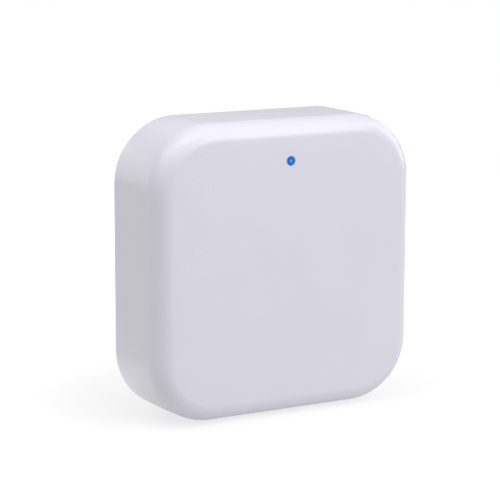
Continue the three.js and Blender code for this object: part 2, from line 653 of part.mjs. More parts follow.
const hub = new THREE.Group();
hub.name = 'smart_home_hub';
hub.add(...casing, ...electronics, ...movingPieces);

export default hub;
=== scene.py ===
"""Looks of the smart home hub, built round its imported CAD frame.

Blender works in metres. Lengths below are written in millimetres and turned into metres by MM.
+Z is up and the front faces -Y, as in the frame.
"""
import json
import math
import random

import bmesh
import bpy
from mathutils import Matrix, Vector


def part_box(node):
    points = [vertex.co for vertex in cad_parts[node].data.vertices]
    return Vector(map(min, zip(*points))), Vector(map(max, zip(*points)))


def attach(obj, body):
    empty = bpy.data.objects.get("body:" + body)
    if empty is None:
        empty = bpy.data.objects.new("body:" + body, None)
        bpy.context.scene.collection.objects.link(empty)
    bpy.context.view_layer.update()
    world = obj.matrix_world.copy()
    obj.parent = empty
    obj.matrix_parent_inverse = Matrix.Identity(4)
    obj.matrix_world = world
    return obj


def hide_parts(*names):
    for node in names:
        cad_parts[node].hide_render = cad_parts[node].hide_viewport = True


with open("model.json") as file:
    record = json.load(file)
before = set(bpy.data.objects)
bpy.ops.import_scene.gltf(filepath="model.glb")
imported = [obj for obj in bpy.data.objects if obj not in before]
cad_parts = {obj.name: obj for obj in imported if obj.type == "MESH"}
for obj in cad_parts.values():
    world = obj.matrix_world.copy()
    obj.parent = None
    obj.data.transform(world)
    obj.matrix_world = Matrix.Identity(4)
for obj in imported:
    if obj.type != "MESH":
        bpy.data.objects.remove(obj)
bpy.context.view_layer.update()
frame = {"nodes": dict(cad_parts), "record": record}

MM = 0.001


# ---- Places, read from the frame -------------------------------------------------------------------

class Extent:
    """The box of a CAD node, in millimetres."""

    def __init__(self, node):
        low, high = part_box(node)
        self.low, self.high = low / MM, high / MM
        self.middle = (self.low + self.high) / 2
        self.width = self.high.x - self.low.x
        self.depth = self.high.y - self.low.y
        self.height = self.high.z - self.low.z


SHELL = Extent("front_shell")
COVER = Extent("rear_cover")
LABEL = Extent("rating_label")
LIGHT = Extent("light_pipe").middle
INLET = Extent("inlet_shell").middle
BUTTON = Extent("reset_button").middle
CASE_SCREWS = [Extent(f"case_screw_{i}").middle for i in range(1, 5)]
BOARD_SCREWS = [Extent(f"board_screw_{i}").middle for i in range(1, 4)]

CASE = "case"
CASE_SIZE = SHELL.width
CENTRE_Z = (SHELL.low.z + SHELL.high.z) / 2
FRONT_Y = SHELL.low.y
RIM_Y = SHELL.high.y
BOARD_FRONT_Y = Extent("main_board").low.y
BOSS_END_Y = COVER.low.y

# ---- Shape constants, in millimetres ---------------------------------------------------------------

CORNER_RADIUS = 15.6
LEAST_CORNER_SHARE = 0.18
FRONT_ROUND_INSET = 4.4
FRONT_ROUND_DEPTH = 5.9
FRONT_CROWN = 0.5
SIDE_EASE = 0.35
REAR_ROUND = 0.66
WALL = 2.0
COVER_SEAT_INSET = 1.2
COVER_THICK = 2.0
COVER_FRONT_Y = RIM_Y - COVER_THICK
EDGE_BREAK = 0.15

LEAST_GAP = 1e-6  # points closer than this are one point
CUT_PAST = 1.0  # how far a cutter goes past what it cuts

CORNER_STEPS = 32
SIDE_STEPS = 10
TURN_STEPS = 64
COARSE_STEPS = 48
HOLE_STEPS = 32


# ---- Outlines and meshes ---------------------------------------------------------------------------

def quarter(steps):
    """Angles from 0 to a quarter turn."""
    return [math.pi / 2 * i / steps for i in range(steps + 1)]


def rounding(steps, across, along=None):
    """A quarter round from a side to an end: how far in from the side, and how far short of the end."""
    along = across if along is None else along
    return [(across * (1 - math.cos(a)), along * (1 - math.sin(a))) for a in quarter(steps)]


def rounded_rectangle(width, height, radius, corner_steps=12, side_steps=1):
    """Points of a rounded rectangle about the origin, anticlockwise, with evenly divided sides."""
    x, y = width / 2 - radius, height / 2 - radius
    corners = [(x, y), (-x, y), (-x, -y), (x, -y)]
    ways = [(-1, 0), (0, -1), (1, 0), (0, 1)]
    points = []
    for turn, ((corner_x, corner_y), (way_x, way_y)) in enumerate(zip(corners, ways)):
        for angle in quarter(corner_steps):
            a = angle + turn * math.pi / 2
            points.append((corner_x + radius * math.cos(a), corner_y + radius * math.sin(a)))
        length = (height if turn % 2 else width) - 2 * radius
        if length > LEAST_GAP:
            start_x, start_y = points[-1]
            for i in range(1, side_steps):
                step = length * i / side_steps
                points.append((start_x + way_x * step, start_y + way_y * step))
    return [p for i, p in enumerate(points) if math.dist(p, points[i - 1]) > LEAST_GAP]


def flat_ring(spot, y, width, height, radius, steps):
    """A rounded rectangle parallel to the front, about a spot."""
    return [(spot.x + u, y, spot.z + v) for u, v in rounded_rectangle(width, height, radius, steps)]


def case_ring(inset, y):
    """The case's outline, inset all round, at one depth. Its corners tighten with the inset."""
    size = CASE_SIZE - 2 * inset
    radius = max(CORNER_RADIUS - inset, LEAST_CORNER_SHARE * size)
    outline = rounded_rectangle(size, size, radius, CORNER_STEPS, SIDE_STEPS)
    return [(u, y, CENTRE_Z + v) for u, v in outline]


def crown(inset):
    """How far the slightly domed front lies behind its middle."""
    return FRONT_CROWN * (1 - inset / (CASE_SIZE / 2)) ** 4


def skin_ring(inset, y):
    """A ring of the outer skin. The sides close in slightly towards the front."""
    return case_ring(inset + SIDE_EASE * ((RIM_Y - y) / (RIM_Y - FRONT_Y)) ** 3, y)


def spot_at(x, z):
    return Vector((x, 0, z))


def mesh_object(name, points, faces):
    mesh = bpy.data.meshes.new(name)
    mesh.from_pydata([Vector(p) * MM for p in points], [], faces)
    mesh.validate()
    tidy = bmesh.new()
    tidy.from_mesh(mesh)
    bmesh.ops.recalc_face_normals(tidy, faces=tidy.faces)
    tidy.to_mesh(mesh)
    tidy.free()
    piece = bpy.data.objects.new(name, mesh)
    bpy.context.scene.collection.objects.link(piece)
    return piece


def loft_shape(rings, closed=False):
    """Points and faces that skin rings of equally many points. Open lofts get a cap at each end."""
    count = len(rings[0])
    points = [p for ring in rings for p in ring]
    faces = []
    last = len(rings) if closed else len(rings) - 1
    for r in range(last):
        a, b = r * count, (r + 1) % len(rings) * count
        for i in range(count):
            j = (i + 1) % count
            faces.append((a + i, a + j, b + j, b + i))
    if not closed:
        faces.append(tuple(reversed(range(count))))
        faces.append(tuple(range((len(rings) - 1) * count, len(rings) * count)))
    return points, faces


def turned_shape(profile, spot, steps=TURN_STEPS):
    """Turns (radius, y) pairs about an axis along Y at a spot. The profile starts and ends on it."""
    points = [(spot.x, profile[0][1], spot.z)]
    for radius, y in profile[1:-1]:
        for i in range(steps):
            a = 2 * math.pi * i / steps
            points.append((spot.x + radius * math.cos(a), y, spot.z + radius * math.sin(a)))
    points.append((spot.x, profile[-1][1], spot.z))
    bands = len(profile) - 3
    tail = 1 + bands * steps
    faces = []
    for i in range(steps):
        j = (i + 1) % steps
        faces.append((0, 1 + i, 1 + j))
        for band in range(bands):
            a, b = 1 + band * steps, 1 + (band + 1) * steps
            faces.append((a + i, b + i, b + j, a + j))
        faces.append((tail + i, len(points) - 1, tail + j))
    return points, faces


def ring_shape(profile, spot, steps=TURN_STEPS):
    """Turns a closed (radius, y) profile that stays off the axis."""
    rings = []
    for i in range(steps):
        a = 2 * math.pi * i / steps
        rings.append([(spot.x + r * math.cos(a), y, spot.z + r * math.sin(a)) for r, y in profile])
    return loft_shape(rings, closed=True)


def block(x_range, y_range, z_range):
    """A small square-edged bar, such as a contact or a solder pad."""
    (x0, x1), (y0, y1), (z0, z1) = sorted(x_range), sorted(y_range), sorted(z_range)
    points = [(x, y, z) for x in (x0, x1) for y in (y0, y1) for z in (z0, z1)]
    faces = [(0, 1, 3, 2), (4, 6, 7, 5), (0, 4, 5, 1), (2, 3, 7, 6), (0, 2, 6, 4), (1, 5, 7, 3)]
    return points, faces


def loft(name, rings):
    return mesh_object(name, *loft_shape(rings))


def turned(name, profile, spot, steps=TURN_STEPS):
    return mesh_object(name, *turned_shape(profile, spot, steps))


def rod(name, radius, y_from, y_to, spot, steps=TURN_STEPS):
    return turned(name, [(0, y_from), (radius, y_from), (radius, y_to), (0, y_to)], spot, steps)


def flared_hole(name, radius, surface_y, inner_y, spot, lip):
    """A cutter for a round hole with a rounded lip at the outer surface."""
    outward = -1 if surface_y < inner_y else 1
    end_y = surface_y + outward * CUT_PAST
    profile = [(0, inner_y), (radius, inner_y)]
    profile += [(radius + grow, surface_y - outward * back) for grow, back in rounding(5, lip)]
    profile += [(radius + lip, end_y), (0, end_y)]
    return turned(name, profile, spot)


def combine(piece, tools, operation):
    """Adds or cuts solids, and removes them from the scene."""
    for tool in tools:
        modifier = piece.modifiers.new(operation, "BOOLEAN")
        modifier.operation = operation
        modifier.solver = "EXACT"
        modifier.object = tool
    graph = bpy.context.evaluated_depsgraph_get()
    mesh = bpy.data.meshes.new_from_object(piece.evaluated_get(graph))
    piece.modifiers.clear()
    piece.data = mesh
    for tool in tools:
        bpy.data.objects.remove(tool)
    return piece


def solid_of(piece):
    """The points and faces of a solid, which is then removed from the scene."""
    points = [v.co / MM for v in piece.data.vertices]
    faces = [tuple(face.vertices) for face in piece.data.polygons]
    bpy.data.objects.remove(piece)
    return points, faces


def shade(piece, angle=40):
    """Smooth faces, with edges sharper than the angle kept."""
    piece.data.shade_smooth()
    piece.data.set_sharp_from_angle(angle=math.radians(angle))
    weighted = piece.modifiers.new("weighted normals", "WEIGHTED_NORMAL")
    weighted.keep_sharp = True
    return piece


def place(piece, node, slot, body=CASE, slots=()):
    """A piece that stands for a CAD node. Its materials are those of its slots, or of its one slot."""
    piece.data.materials.clear()
    for name in slots or [slot]:
        piece.data.materials.append(MATERIALS[name])
    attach(piece, body)
    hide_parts(node)
    return piece


# ---- Materials -------------------------------------------------------------------------------------

class Nodes:
    """A short way to write the node tree of a material or of the world."""

    def __init__(self, owner, shader):
        owner.use_nodes = True
        self.owner = owner
        self.tree = owner.node_tree
        self.surface = self.tree.nodes[shader]

    def put(self, target, value):
        """Links a socket to an input, or sets a value on it."""
        if isinstance(value, bpy.types.NodeSocket):
            self.tree.links.new(value, target)
        else:
            target.default_value = value

    def add(self, kind, inputs=None, **settings):
        node = self.tree.nodes.new(kind)
        for key, value in settings.items():
            setattr(node, key, value)
        for key, value in (inputs or {}).items():
            self.put(node.inputs[key], value)
        return node

    def shader(self, inputs):
        """Sets inputs of the shader, and gives back the material or world that it belongs to."""
        for key, value in inputs.items():
            self.put(self.surface.inputs[key], value)
        return self.owner

    def math(self, operation, first, second):
        return self.add("ShaderNodeMath", {0: first, 1: second}, operation=operation).outputs[0]

    def vector(self, operation, first, second=(0, 0, 0), output="Vector"):
        node = self.add("ShaderNodeVectorMath", {0: first, 1: second}, operation=operation)
        return node.outputs[output]

    def spread(self, value, low, high, from_low=0.3, from_high=0.7, **settings):
        """Maps a range, as a rule that of noise, to another."""
        inputs = {"Value": value, "From Min": from_low, "From Max": from_high, "To Min": low, "To Max": high}
        return self.add("ShaderNodeMapRange", inputs, **settings).outputs["Result"]

    def mapped(self, vector, key, value):
        """A place that is turned or scaled."""
        return self.add("ShaderNodeMapping", {"Vector": vector, key: value}).outputs["Vector"]

    def mix(self, factor, first, second):
        return self.add("ShaderNodeMix", {0: factor, 6: first, 7: second}, data_type="RGBA").outputs[2]

    def bump(self, height, depth_mm):
        """Turns a 0 to 1 height into a bump of a real depth."""
        node = self.add("ShaderNodeBump", {"Distance": depth_mm * MM, "Height": height})
        return node.outputs["Normal"]


class MaterialNodes(Nodes):
    """The nodes of a new material, with each point's place in the frame, in metres."""

    def __init__(self, name):
        super().__init__(bpy.data.materials.new(name), "Principled BSDF")
        self.position = self.add("ShaderNodeTexCoord").outputs["Object"]

    def noise(self, size_mm, detail=3.0, roughness=0.5, position=None):
        """Noise whose features are about size_mm across."""
        inputs = {"Vector": position or self.position, "Scale": 1 / (size_mm * MM),
                  "Detail": detail, "Roughness": roughness}
        return self.add("ShaderNodeTexNoise", inputs).outputs["Fac"]


def colour(red, green, blue):
    return (red, green, blue, 1.0)


def grey(level):
    return colour(level, level, level)


def shade_of(base, factor):
    return colour(*(min(1.0, c * factor) for c in base[:3]))


def moulded_plastic(name, base, roughness, grain_mm, grain_depth_mm):
    """Spark-textured moulded plastic: fine grain, faint cloudiness, edges polished by handling."""
    n = MaterialNodes(name)
    cloud = n.spread(n.noise(14, detail=2), 0, 1)
    grain = n.noise(grain_mm, detail=4, roughness=0.6)
    smear = n.spread(n.noise(16, detail=2, roughness=0.4), roughness - 0.01, roughness + 0.01)
    rough = n.math("ADD", smear, n.spread(grain, -0.012, 0.012))
    pointiness = n.add("ShaderNodeNewGeometry").outputs["Pointiness"]
    edge = n.spread(pointiness, 0, 1, from_low=0.5, from_high=0.56)
    edge_polish = 0.06
    return n.shader({
        "Base Color": n.mix(cloud, shade_of(base, 0.985), shade_of(base, 1.01)),
        "Roughness": n.math("SUBTRACT", rough, n.math("MULTIPLY", edge, edge_polish)),
        "IOR": 1.5,
        "Normal": n.bump(grain, grain_depth_mm),
    })


def rubber(name, base):
    """Moulded rubber, with dust in patches."""
    n = MaterialNodes(name)
    grain = n.noise(0.18, detail=5, roughness=0.65)
    dust = n.spread(n.noise(2.5, detail=4, roughness=0.6), 0, 0.35, from_low=0.5, from_high=0.75)
    return n.shader({
        "Base Color": n.mix(dust, base, shade_of(base, 1.25)),
        "Roughness": n.spread(grain, 0.7, 0.85),
        "Specular IOR Level": 0.35,
        "Normal": n.bump(grain, 0.03),
    })


def metal(name, base, roughness, streak=(1, 1, 1)):
    """Sheet or plated metal. The streak stretches the brushing along one axis."""
    n = MaterialNodes(name)
    brushed = n.noise(0.3, detail=4, position=n.mapped(n.position, "Scale", streak))
    stain = n.spread(n.noise(3, detail=4, roughness=0.6), 0, 1)
    return n.shader({
        "Base Color": n.mix(stain, shade_of(base, 0.92), base),
        "Metallic": 1.0,
        "Roughness": n.spread(brushed, roughness, roughness + 0.14),
        "Normal": n.bump(brushed, 0.006),
    })


def resin(name, base, roughness=0.5, grain_mm=0.12):
    """Moulded epoxy or filled plastic of chips and switches."""
    n = MaterialNodes(name)
    grain = n.noise(grain_mm, roughness=0.6)
    return n.shader({
        "Base Color": n.mix(n.spread(n.noise(1.2), 0, 1), base, shade_of(base, 1.3)),
        "Roughness": n.spread(grain, roughness, roughness + 0.15),
        "Normal": n.bump(grain, 0.01),
    })


def tracks(n, turn):
    """Long parallel lines on the XZ plane, turned by an angle, with a few links between them."""
    flat = n.mapped(n.position, "Rotation", (math.pi / 2, 0, 0))
    lines = {"Vector": n.mapped(flat, "Rotation", (0, 0, turn)), "Scale": 1 / MM, "Brick Width": 13,
             "Row Height": 0.55, "Mortar Size": 0.09, "Mortar Smooth": 0.3}
    return n.add("ShaderNodeTexBrick", lines, offset=0.37, offset_frequency=3).outputs["Fac"]


def solder_mask(name, base, copper):
    """Glossy lacquer over copper tracks, which show as slightly raised, lighter lines in patches."""
    n = MaterialNodes(name)
    patches = n.noise(7, detail=0)
    upright = n.math("MULTIPLY", n.math("GREATER_THAN", patches, 0.56), tracks(n, math.pi / 2))
    level = n.math("MULTIPLY", n.math("LESS_THAN", patches, 0.47), tracks(n, 0))
    line = n.math("ADD", upright, level)
    return n.shader({
        "Base Color": n.mix(line, base, copper),
        "Roughness": n.spread(n.noise(0.8, detail=4), 0.28, 0.42),
        "Normal": n.bump(line, 0.02),
    })


def foam(name, base):
    """Dense foam with fine open cells, with painted shade in their pits."""
    n = MaterialNodes(name)
    cell_scale = 1 / (0.25 * MM)
    cells = n.add("ShaderNodeTexVoronoi", {"Vector": n.position, "Scale": cell_scale}).outputs["Distance"]
    return n.shader({
        # darker where the bump sinks each cell: painted shade in the pits
        "Base Color": n.mix(cells, base, shade_of(base, 2.2)),
        "Roughness": 0.95,
        "Normal": n.bump(cells, 0.08),
    })


LIGHT_CORE = colour(0.1, 0.33, 0.7)
LIGHT_RING = colour(0.0, 0.115, 0.52)
LIGHT_EDGE = colour(0.16, 0.3, 0.58)

# share of the pipe's radius, and the light there
LIGHT_STOPS = [(0.0, LIGHT_CORE), (0.18, LIGHT_CORE), (0.5, LIGHT_RING), (0.82, LIGHT_RING),
               (1.0, LIGHT_EDGE)]


def lit_resin(name, radius_mm):
    """Clear pipe lit from behind: a pale core where the light itself shows, and a deep blue ring."""
    n = MaterialNodes(name)
    from_axis = n.vector("MULTIPLY", n.vector("SUBTRACT", n.position, LIGHT * MM), (1, 0, 1))
    share = n.math("DIVIDE", n.vector("LENGTH", from_axis, output="Value"), radius_mm * MM)
    wobble = n.math("ADD", share, n.spread(n.noise(0.5), -0.05, 0.05))
    ramp = n.add("ShaderNodeValToRGB", {"Fac": wobble})
    elements = ramp.color_ramp.elements
    while len(elements) < len(LIGHT_STOPS):
        elements.new(0.5)
    for element, (position, stop_colour) in zip(elements, LIGHT_STOPS):
        element.position = position
        element.color = stop_colour
    return n.shader({
        "Base Color": colour(0.0, 0.01, 0.03),
        "Specular IOR Level": 0.25,
        "Emission Color": ramp.outputs["Color"],
        "Emission Strength": 1.0,
        "Roughness": n.spread(n.noise(0.3), 0.18, 0.28),
        "Normal": n.bump(n.noise(0.4), 0.01),
    })


LIGHT_PIPE_RADIUS = 1.1

SHELL_WHITE = colour(0.76, 0.745, 0.83)
COVER_WHITE = colour(0.73, 0.715, 0.79)
BOARD_GREEN, TRACK_GREEN = colour(0.012, 0.1, 0.04), colour(0.03, 0.2, 0.07)
MODULE_BLACK, MODULE_TRACK = colour(0.008, 0.012, 0.02), colour(0.02, 0.035, 0.05)

# each slot's kind of material, and the values that its function takes after the name
LOOKS = {
    "shell_plastic": (moulded_plastic, SHELL_WHITE, 0.26, 0.3, 0.002),
    "cover_plastic": (moulded_plastic, COVER_WHITE, 0.5, 0.22, 0.02),
    "foot_rubber": (rubber, colour(0.3, 0.3, 0.31)),
    "label_film": (moulded_plastic, grey(0.84), 0.42, 0.5, 0.004),
    "light_pipe_resin": (lit_resin, LIGHT_PIPE_RADIUS),
    "gasket_foam": (foam, colour(0.015, 0.015, 0.017)),
    "screw_steel": (metal, colour(0.62, 0.63, 0.66), 0.25),
    "shield_steel": (metal, colour(0.7, 0.71, 0.72), 0.22, (0.15, 1, 1)),
    "board_laminate": (solder_mask, BOARD_GREEN, TRACK_GREEN),
    "module_laminate": (solder_mask, MODULE_BLACK, MODULE_TRACK),
    "chip_resin": (resin, colour(0.012, 0.012, 0.013)),
    "light_resin": (resin, colour(0.8, 0.85, 0.9), 0.2),
    "capacitor_aluminium": (metal, colour(0.75, 0.76, 0.78), 0.2, (1, 0.1, 1)),
    "contact_gold": (metal, colour(0.83, 0.6, 0.24), 0.24),
    "ceramic": (resin, colour(0.3, 0.2, 0.12), 0.45),
    "fuse_laminate": (resin, colour(0.02, 0.12, 0.05), 0.4),
    "ferrite": (resin, colour(0.035, 0.035, 0.037), 0.7, 0.3),
    "switch_plastic": (resin, colour(0.015, 0.015, 0.016), 0.4),
}
MATERIALS = {slot: make(slot.replace("_", " "), *values) for slot, (make, *values) in LOOKS.items()}


# ---- Front shell -----------------------------------------------------------------------------------

INNER_FRONT_Y = FRONT_Y + WALL
SKIN_Y = INNER_FRONT_Y - WALL / 2
LIGHT_FACE_Y = FRONT_Y + crown(CASE_SIZE / 2 - abs(LIGHT.z - CENTRE_Z))
LIGHT_HOLE_RADIUS = 1.2
LIGHT_TUBE_RADIUS = 2.3
LIGHT_TUBE_END_Y = -5.2
CASE_BOSS_RADIUS = 3.0
CASE_PILOT_RADIUS = 1.15
CASE_PILOT_DEPTH = 11.0
BOARD_POST_RADIUS = 2.6
BOARD_PILOT_RADIUS = 0.85
BOARD_PILOT_DEPTH = 6.0
GUSSET_THICK = 1.2
GUSSET_REACH = (2.0, 6.3)
GUSSET_END_Y = BOSS_END_Y - 2.0
INLET_HOLE = (9.44, 3.76)
PLUG_RECESS = (13.4, 7.6)
PLUG_RECESS_DEPTH = 1.2


def front_rings():
    """The domed front from near its middle to its edge, closer together towards the edge."""
    rings = []
    count, bunching = 10, 0.7
    for i in range(count):
        share = ((i + 0.5) / count) ** bunching
        inset = CASE_SIZE / 2 + (FRONT_ROUND_INSET - CASE_SIZE / 2) * share
        rings.append(case_ring(inset, FRONT_Y + crown(inset)))
    return rings


def shell_rings():
    """The shell's section from the middle of the front, round the rim and back inside."""
    rings = front_rings()
    for depth, inset in rounding(20, FRONT_ROUND_DEPTH - FRONT_CROWN, FRONT_ROUND_INSET - SIDE_EASE):
        rings.append(skin_ring(inset, FRONT_Y + depth + crown(inset)))
    side_start = FRONT_Y + FRONT_ROUND_DEPTH
    side_length = RIM_Y - REAR_ROUND - side_start
    side_steps = 6
    rings += [skin_ring(0, side_start + side_length * i / side_steps) for i in range(1, side_steps)]
    rings += [case_ring(inset, RIM_Y - back) for inset, back in rounding(6, REAR_ROUND)]
    rings += [case_ring(COVER_SEAT_INSET - out, RIM_Y - down) for down, out in rounding(3, EDGE_BREAK)]
    rings += [case_ring(COVER_SEAT_INSET, COVER_FRONT_Y), case_ring(WALL, COVER_FRONT_Y)]
    for inset, depth in rounding(8, FRONT_ROUND_INSET - WALL, FRONT_ROUND_DEPTH - WALL):
        rings.append(case_ring(WALL + inset, INNER_FRONT_Y + depth))
    return rings


def stadium_ring(width, height, x, grow=0.0):
    """A stadium in the side wall's plane, long along Z, about the inlet's axis."""
    outline = rounded_rectangle(height + 2 * grow, width + 2 * grow, height / 2 + grow, 24)
    return [(x, INLET.y + u, INLET.z + v) for u, v in outline]


def inlet_cutter(name, width, height, outer_x, inner_x, lip):
    rings = [stadium_ring(width, height, inner_x)]
    rings += [stadium_ring(width, height, outer_x - back, grow) for grow, back in rounding(5, lip)]
    rings.append(stadium_ring(width, height, outer_x + CUT_PAST, lip))
    return loft(name, rings)


def gusset(spot):
    """A thin web from a case boss out to the corner wall."""
    outward = spot_at(spot.x, spot.z - CENTRE_Z).normalized()
    across = spot_at(-outward.z, outward.x) * GUSSET_THICK / 2
    foot = spot_at(spot.x, spot.z)
    near, far = GUSSET_REACH
    ends = ((near, 1), (far, 1), (far, -1), (near, -1))
    corners = [foot + outward * reach + across * side for reach, side in ends]
    return loft("gusset", [[(c.x, y, c.z) for c in corners] for y in (INNER_FRONT_Y, GUSSET_END_Y)])


def shell_features():
    """Solids that stand inside the shell: bosses with their gussets, posts and the light tube."""
    tools = [rod("light tube", LIGHT_TUBE_RADIUS, SKIN_Y, LIGHT_TUBE_END_Y, LIGHT)]
    for spot in CASE_SCREWS:
        tools.append(rod("boss", CASE_BOSS_RADIUS, SKIN_Y, BOSS_END_Y, spot))
        tools.append(gusset(spot))
    for spot in BOARD_SCREWS:
        tools.append(rod("post", BOARD_POST_RADIUS, SKIN_Y, BOARD_FRONT_Y, spot))
    return tools


def pilot(spot, radius, end_y, depth):
    return rod("pilot", radius, end_y - depth, end_y + CUT_PAST, spot, HOLE_STEPS)


def shell_cuts():
    """Cutters for the light hole, the screws' pilot holes, and the recess and hole of the inlet."""
    tube_end = LIGHT_TUBE_END_Y + CUT_PAST
    recess_x = CASE_SIZE / 2 - PLUG_RECESS_DEPTH
    inside_x = CASE_SIZE / 2 - WALL - CUT_PAST
    tools = [flared_hole("light hole", LIGHT_HOLE_RADIUS, LIGHT_FACE_Y, tube_end, LIGHT, lip=0.12)]
    tools += [pilot(spot, CASE_PILOT_RADIUS, BOSS_END_Y, CASE_PILOT_DEPTH) for spot in CASE_SCREWS]
    tools += [pilot(spot, BOARD_PILOT_RADIUS, BOARD_FRONT_Y, BOARD_PILOT_DEPTH) for spot in BOARD_SCREWS]
    tools.append(inlet_cutter("plug recess", *PLUG_RECESS, CASE_SIZE / 2, recess_x, lip=0.3))
    tools.append(inlet_cutter("inlet hole", *INLET_HOLE, recess_x, inside_x, lip=0.15))
    return tools


def build_shell():
    shell = loft("front_shell_skin", shell_rings())
    combine(shell, shell_features(), "UNION")
    combine(shell, shell_cuts(), "DIFFERENCE")
    place(shade(shell, 35), "front_shell", "shell_plastic")


# ---- Rear cover ------------------------------------------------------------------------------------

COVER_INSET = (CASE_SIZE - COVER.width) / 2
COVER_EDGE = 0.3
CUP_RADIUS = 4.2
FOOT_RECESS_RADIUS = 4.3
FOOT_RECESS_DEPTH = 0.9
COUNTERBORE_RADIUS = 2.8
SCREW_SEAT_Y = 7.5
CASE_CLEARANCE_RADIUS = 1.5
BUTTON_HOLE_RADIUS = 3.25
LABEL_CORNER = 1.0
LABEL_RECESS = 0.2
LABEL_GAP = 0.3


def cover_plate():
    rings = [case_ring(COVER_INSET, COVER_FRONT_Y)]
    rings += [case_ring(COVER_INSET + inset, RIM_Y - back) for inset, back in rounding(5, COVER_EDGE)]
    return loft("rear_cover_plate", rings)


def label_ring(y, gap):
    return flat_ring(LABEL.middle, y, LABEL.width + 2 * gap, LABEL.height + 2 * gap, LABEL_CORNER + gap, 8)


def cover_cuts():
    """Cutters for the button's hole, the feet's recesses with their screw holes, and the label's recess."""
    recess_y = RIM_Y - FOOT_RECESS_DEPTH
    inside_y = COVER_FRONT_Y - CUT_PAST
    cuts = [flared_hole("button hole", BUTTON_HOLE_RADIUS, RIM_Y, inside_y, BUTTON, lip=0.2)]
    for spot in CASE_SCREWS:
        cuts.append(flared_hole("foot recess", FOOT_RECESS_RADIUS, RIM_Y, recess_y, spot, lip=0.15))
        cuts.append(rod("counterbore", COUNTERBORE_RADIUS, SCREW_SEAT_Y, recess_y + CUT_PAST, spot,
                        COARSE_STEPS))
        cuts.append(rod("clearance", CASE_CLEARANCE_RADIUS, BOSS_END_Y - CUT_PAST, SCREW_SEAT_Y + CUT_PAST,
                        spot, HOLE_STEPS))
    label_depths = (RIM_Y - LABEL_RECESS, RIM_Y + CUT_PAST)
    cuts.append(loft("label recess", [label_ring(y, LABEL_GAP) for y in label_depths]))
    return cuts


def build_cover():
    cover = cover_plate()
    cup_end = COVER_FRONT_Y + CUT_PAST
    combine(cover, [rod("cup", CUP_RADIUS, BOSS_END_Y, cup_end, spot) for spot in CASE_SCREWS], "UNION")
    combine(cover, cover_cuts(), "DIFFERENCE")
    place(shade(cover, 35), "rear_cover", "cover_plastic")


def build_foot(index):
    """A round rubber foot with a rounded edge and a barely domed top."""
    node = f"rear_foot_{index}"
    box = Extent(node)
    radius, edge = box.width / 2, 0.45
    edge_y, dome_y = box.high.y - 0.06, box.high.y - 0.02
    profile = [(0, box.low.y), (radius, box.low.y)]
    profile += [(radius - inset, edge_y - back) for inset, back in rounding(6, edge)]
    profile += [(radius * 0.5, dome_y), (0, box.high.y)]
    foot = turned(f"rear_foot_pad_{index}", profile, box.middle)
    place(shade(foot, 50), node, "foot_rubber")


def build_label():
    edge = 0.03
    outlines = [(LABEL.low.y, 0), (LABEL.high.y - edge, 0), (LABEL.high.y, -edge)]
    label = loft("rating_label_film", [label_ring(y, gap) for y, gap in outlines])
    place(shade(label, 35), "rating_label", "label_film")


def build_button():
    """The reset button: a stem, a flange that traps it behind the cover, and a dished cap."""
    box = Extent("reset_button")
    stem, stem_edge = 1.3, 0.15
    flange, flange_edge = 4.0, 0.1
    flange_rear = COVER_FRONT_Y - 0.1
    flange_front = flange_rear - 0.8
    cap, cap_edge = 3.0, 0.4
    dish, dish_depth = 2.1, 0.18
    profile = [(0, box.low.y), (stem - stem_edge, box.low.y), (stem, box.low.y + stem_edge),
               (stem, flange_front), (flange - flange_edge, flange_front),
               (flange, flange_front + flange_edge), (flange, flange_rear - flange_edge),
               (flange - flange_edge, flange_rear), (cap, flange_rear)]
    profile += [(cap - inset, box.high.y - back) for inset, back in rounding(6, cap_edge)]
    for share in (1.0, 0.92, 0.8, 0.6, 0.35):
        profile.append((dish * share, box.high.y - dish_depth * (1 - share ** 2)))
    profile.append((0, box.high.y - dish_depth))
    button = turned("reset_button_cap", profile, BUTTON)
    place(shade(button), "reset_button", "cover_plastic", "reset_button")


def build_light_pipe():
    """The clear pipe with its slightly domed face, and the flange that rests on the light tube."""
    rear_y = Extent("light_pipe").high.y
    radius, flange = LIGHT_PIPE_RADIUS, 1.9
    flange_front = LIGHT_TUBE_END_Y
    flange_rear = flange_front + 0.8
    face_y = LIGHT_FACE_Y + 0.05
    dome = ((0, 0), (0.5, 0.01), (0.85, 0.04), (1, 0.1))
    profile = [(radius * share, face_y + back) for share, back in dome]
    profile += [(radius, flange_front), (flange, flange_front), (flange, flange_rear), (radius, flange_rear),
                (radius, rear_y), (0, rear_y)]
    place(shade(turned("light_pipe_lens", profile, LIGHT)), "light_pipe", "light_pipe_resin")


# ---- Pieces inside the case ------------------------------------------------------------------------

class Parts:
    """Several closed shapes, each with its material, that make the piece of one CAD node."""

    def __init__(self, node):
        self.node = node
        self.box = Extent(node)
        self.points, self.faces, self.indices, self.slots = [], [], [], []

    def add(self, shape, slot):
        points, faces = shape
        if slot not in self.slots:
            self.slots.append(slot)
        start = len(self.points)
        self.points += points
        self.faces += [tuple(start + i for i in face) for face in faces]
        self.indices += [self.slots.index(slot)] * len(faces)

    def build(self, name, slot):
        piece = mesh_object(name, self.points, self.faces)
        place(piece, self.node, slot, slots=self.slots)
        piece.data.polygons.foreach_set("material_index", self.indices)
        shade(piece)


def slab(spot, size, span, corner=0.1, edge=0.05):
    """A flat block parallel to the board, with the edges of the face at its span's end rounded."""
    width, height = size
    y_from, y_to = span
    way = 1 if y_to > y_from else -1
    edge = min(edge, abs(y_to - y_from) / 2)
    least_corner = 0.02

    def ring(y, inset):
        return flat_ring(spot, y, width - 2 * inset, height - 2 * inset, max(corner - inset, least_corner), 3)

    rings = [ring(y_from, 0)]
    rings += [ring(y_to - way * back, inset) for inset, back in rounding(3, edge)]
    return loft_shape(rings)


def row(count, pitch):
    """Offsets of evenly spaced items about their middle."""
    return [(i - (count - 1) / 2) * pitch for i in range(count)]


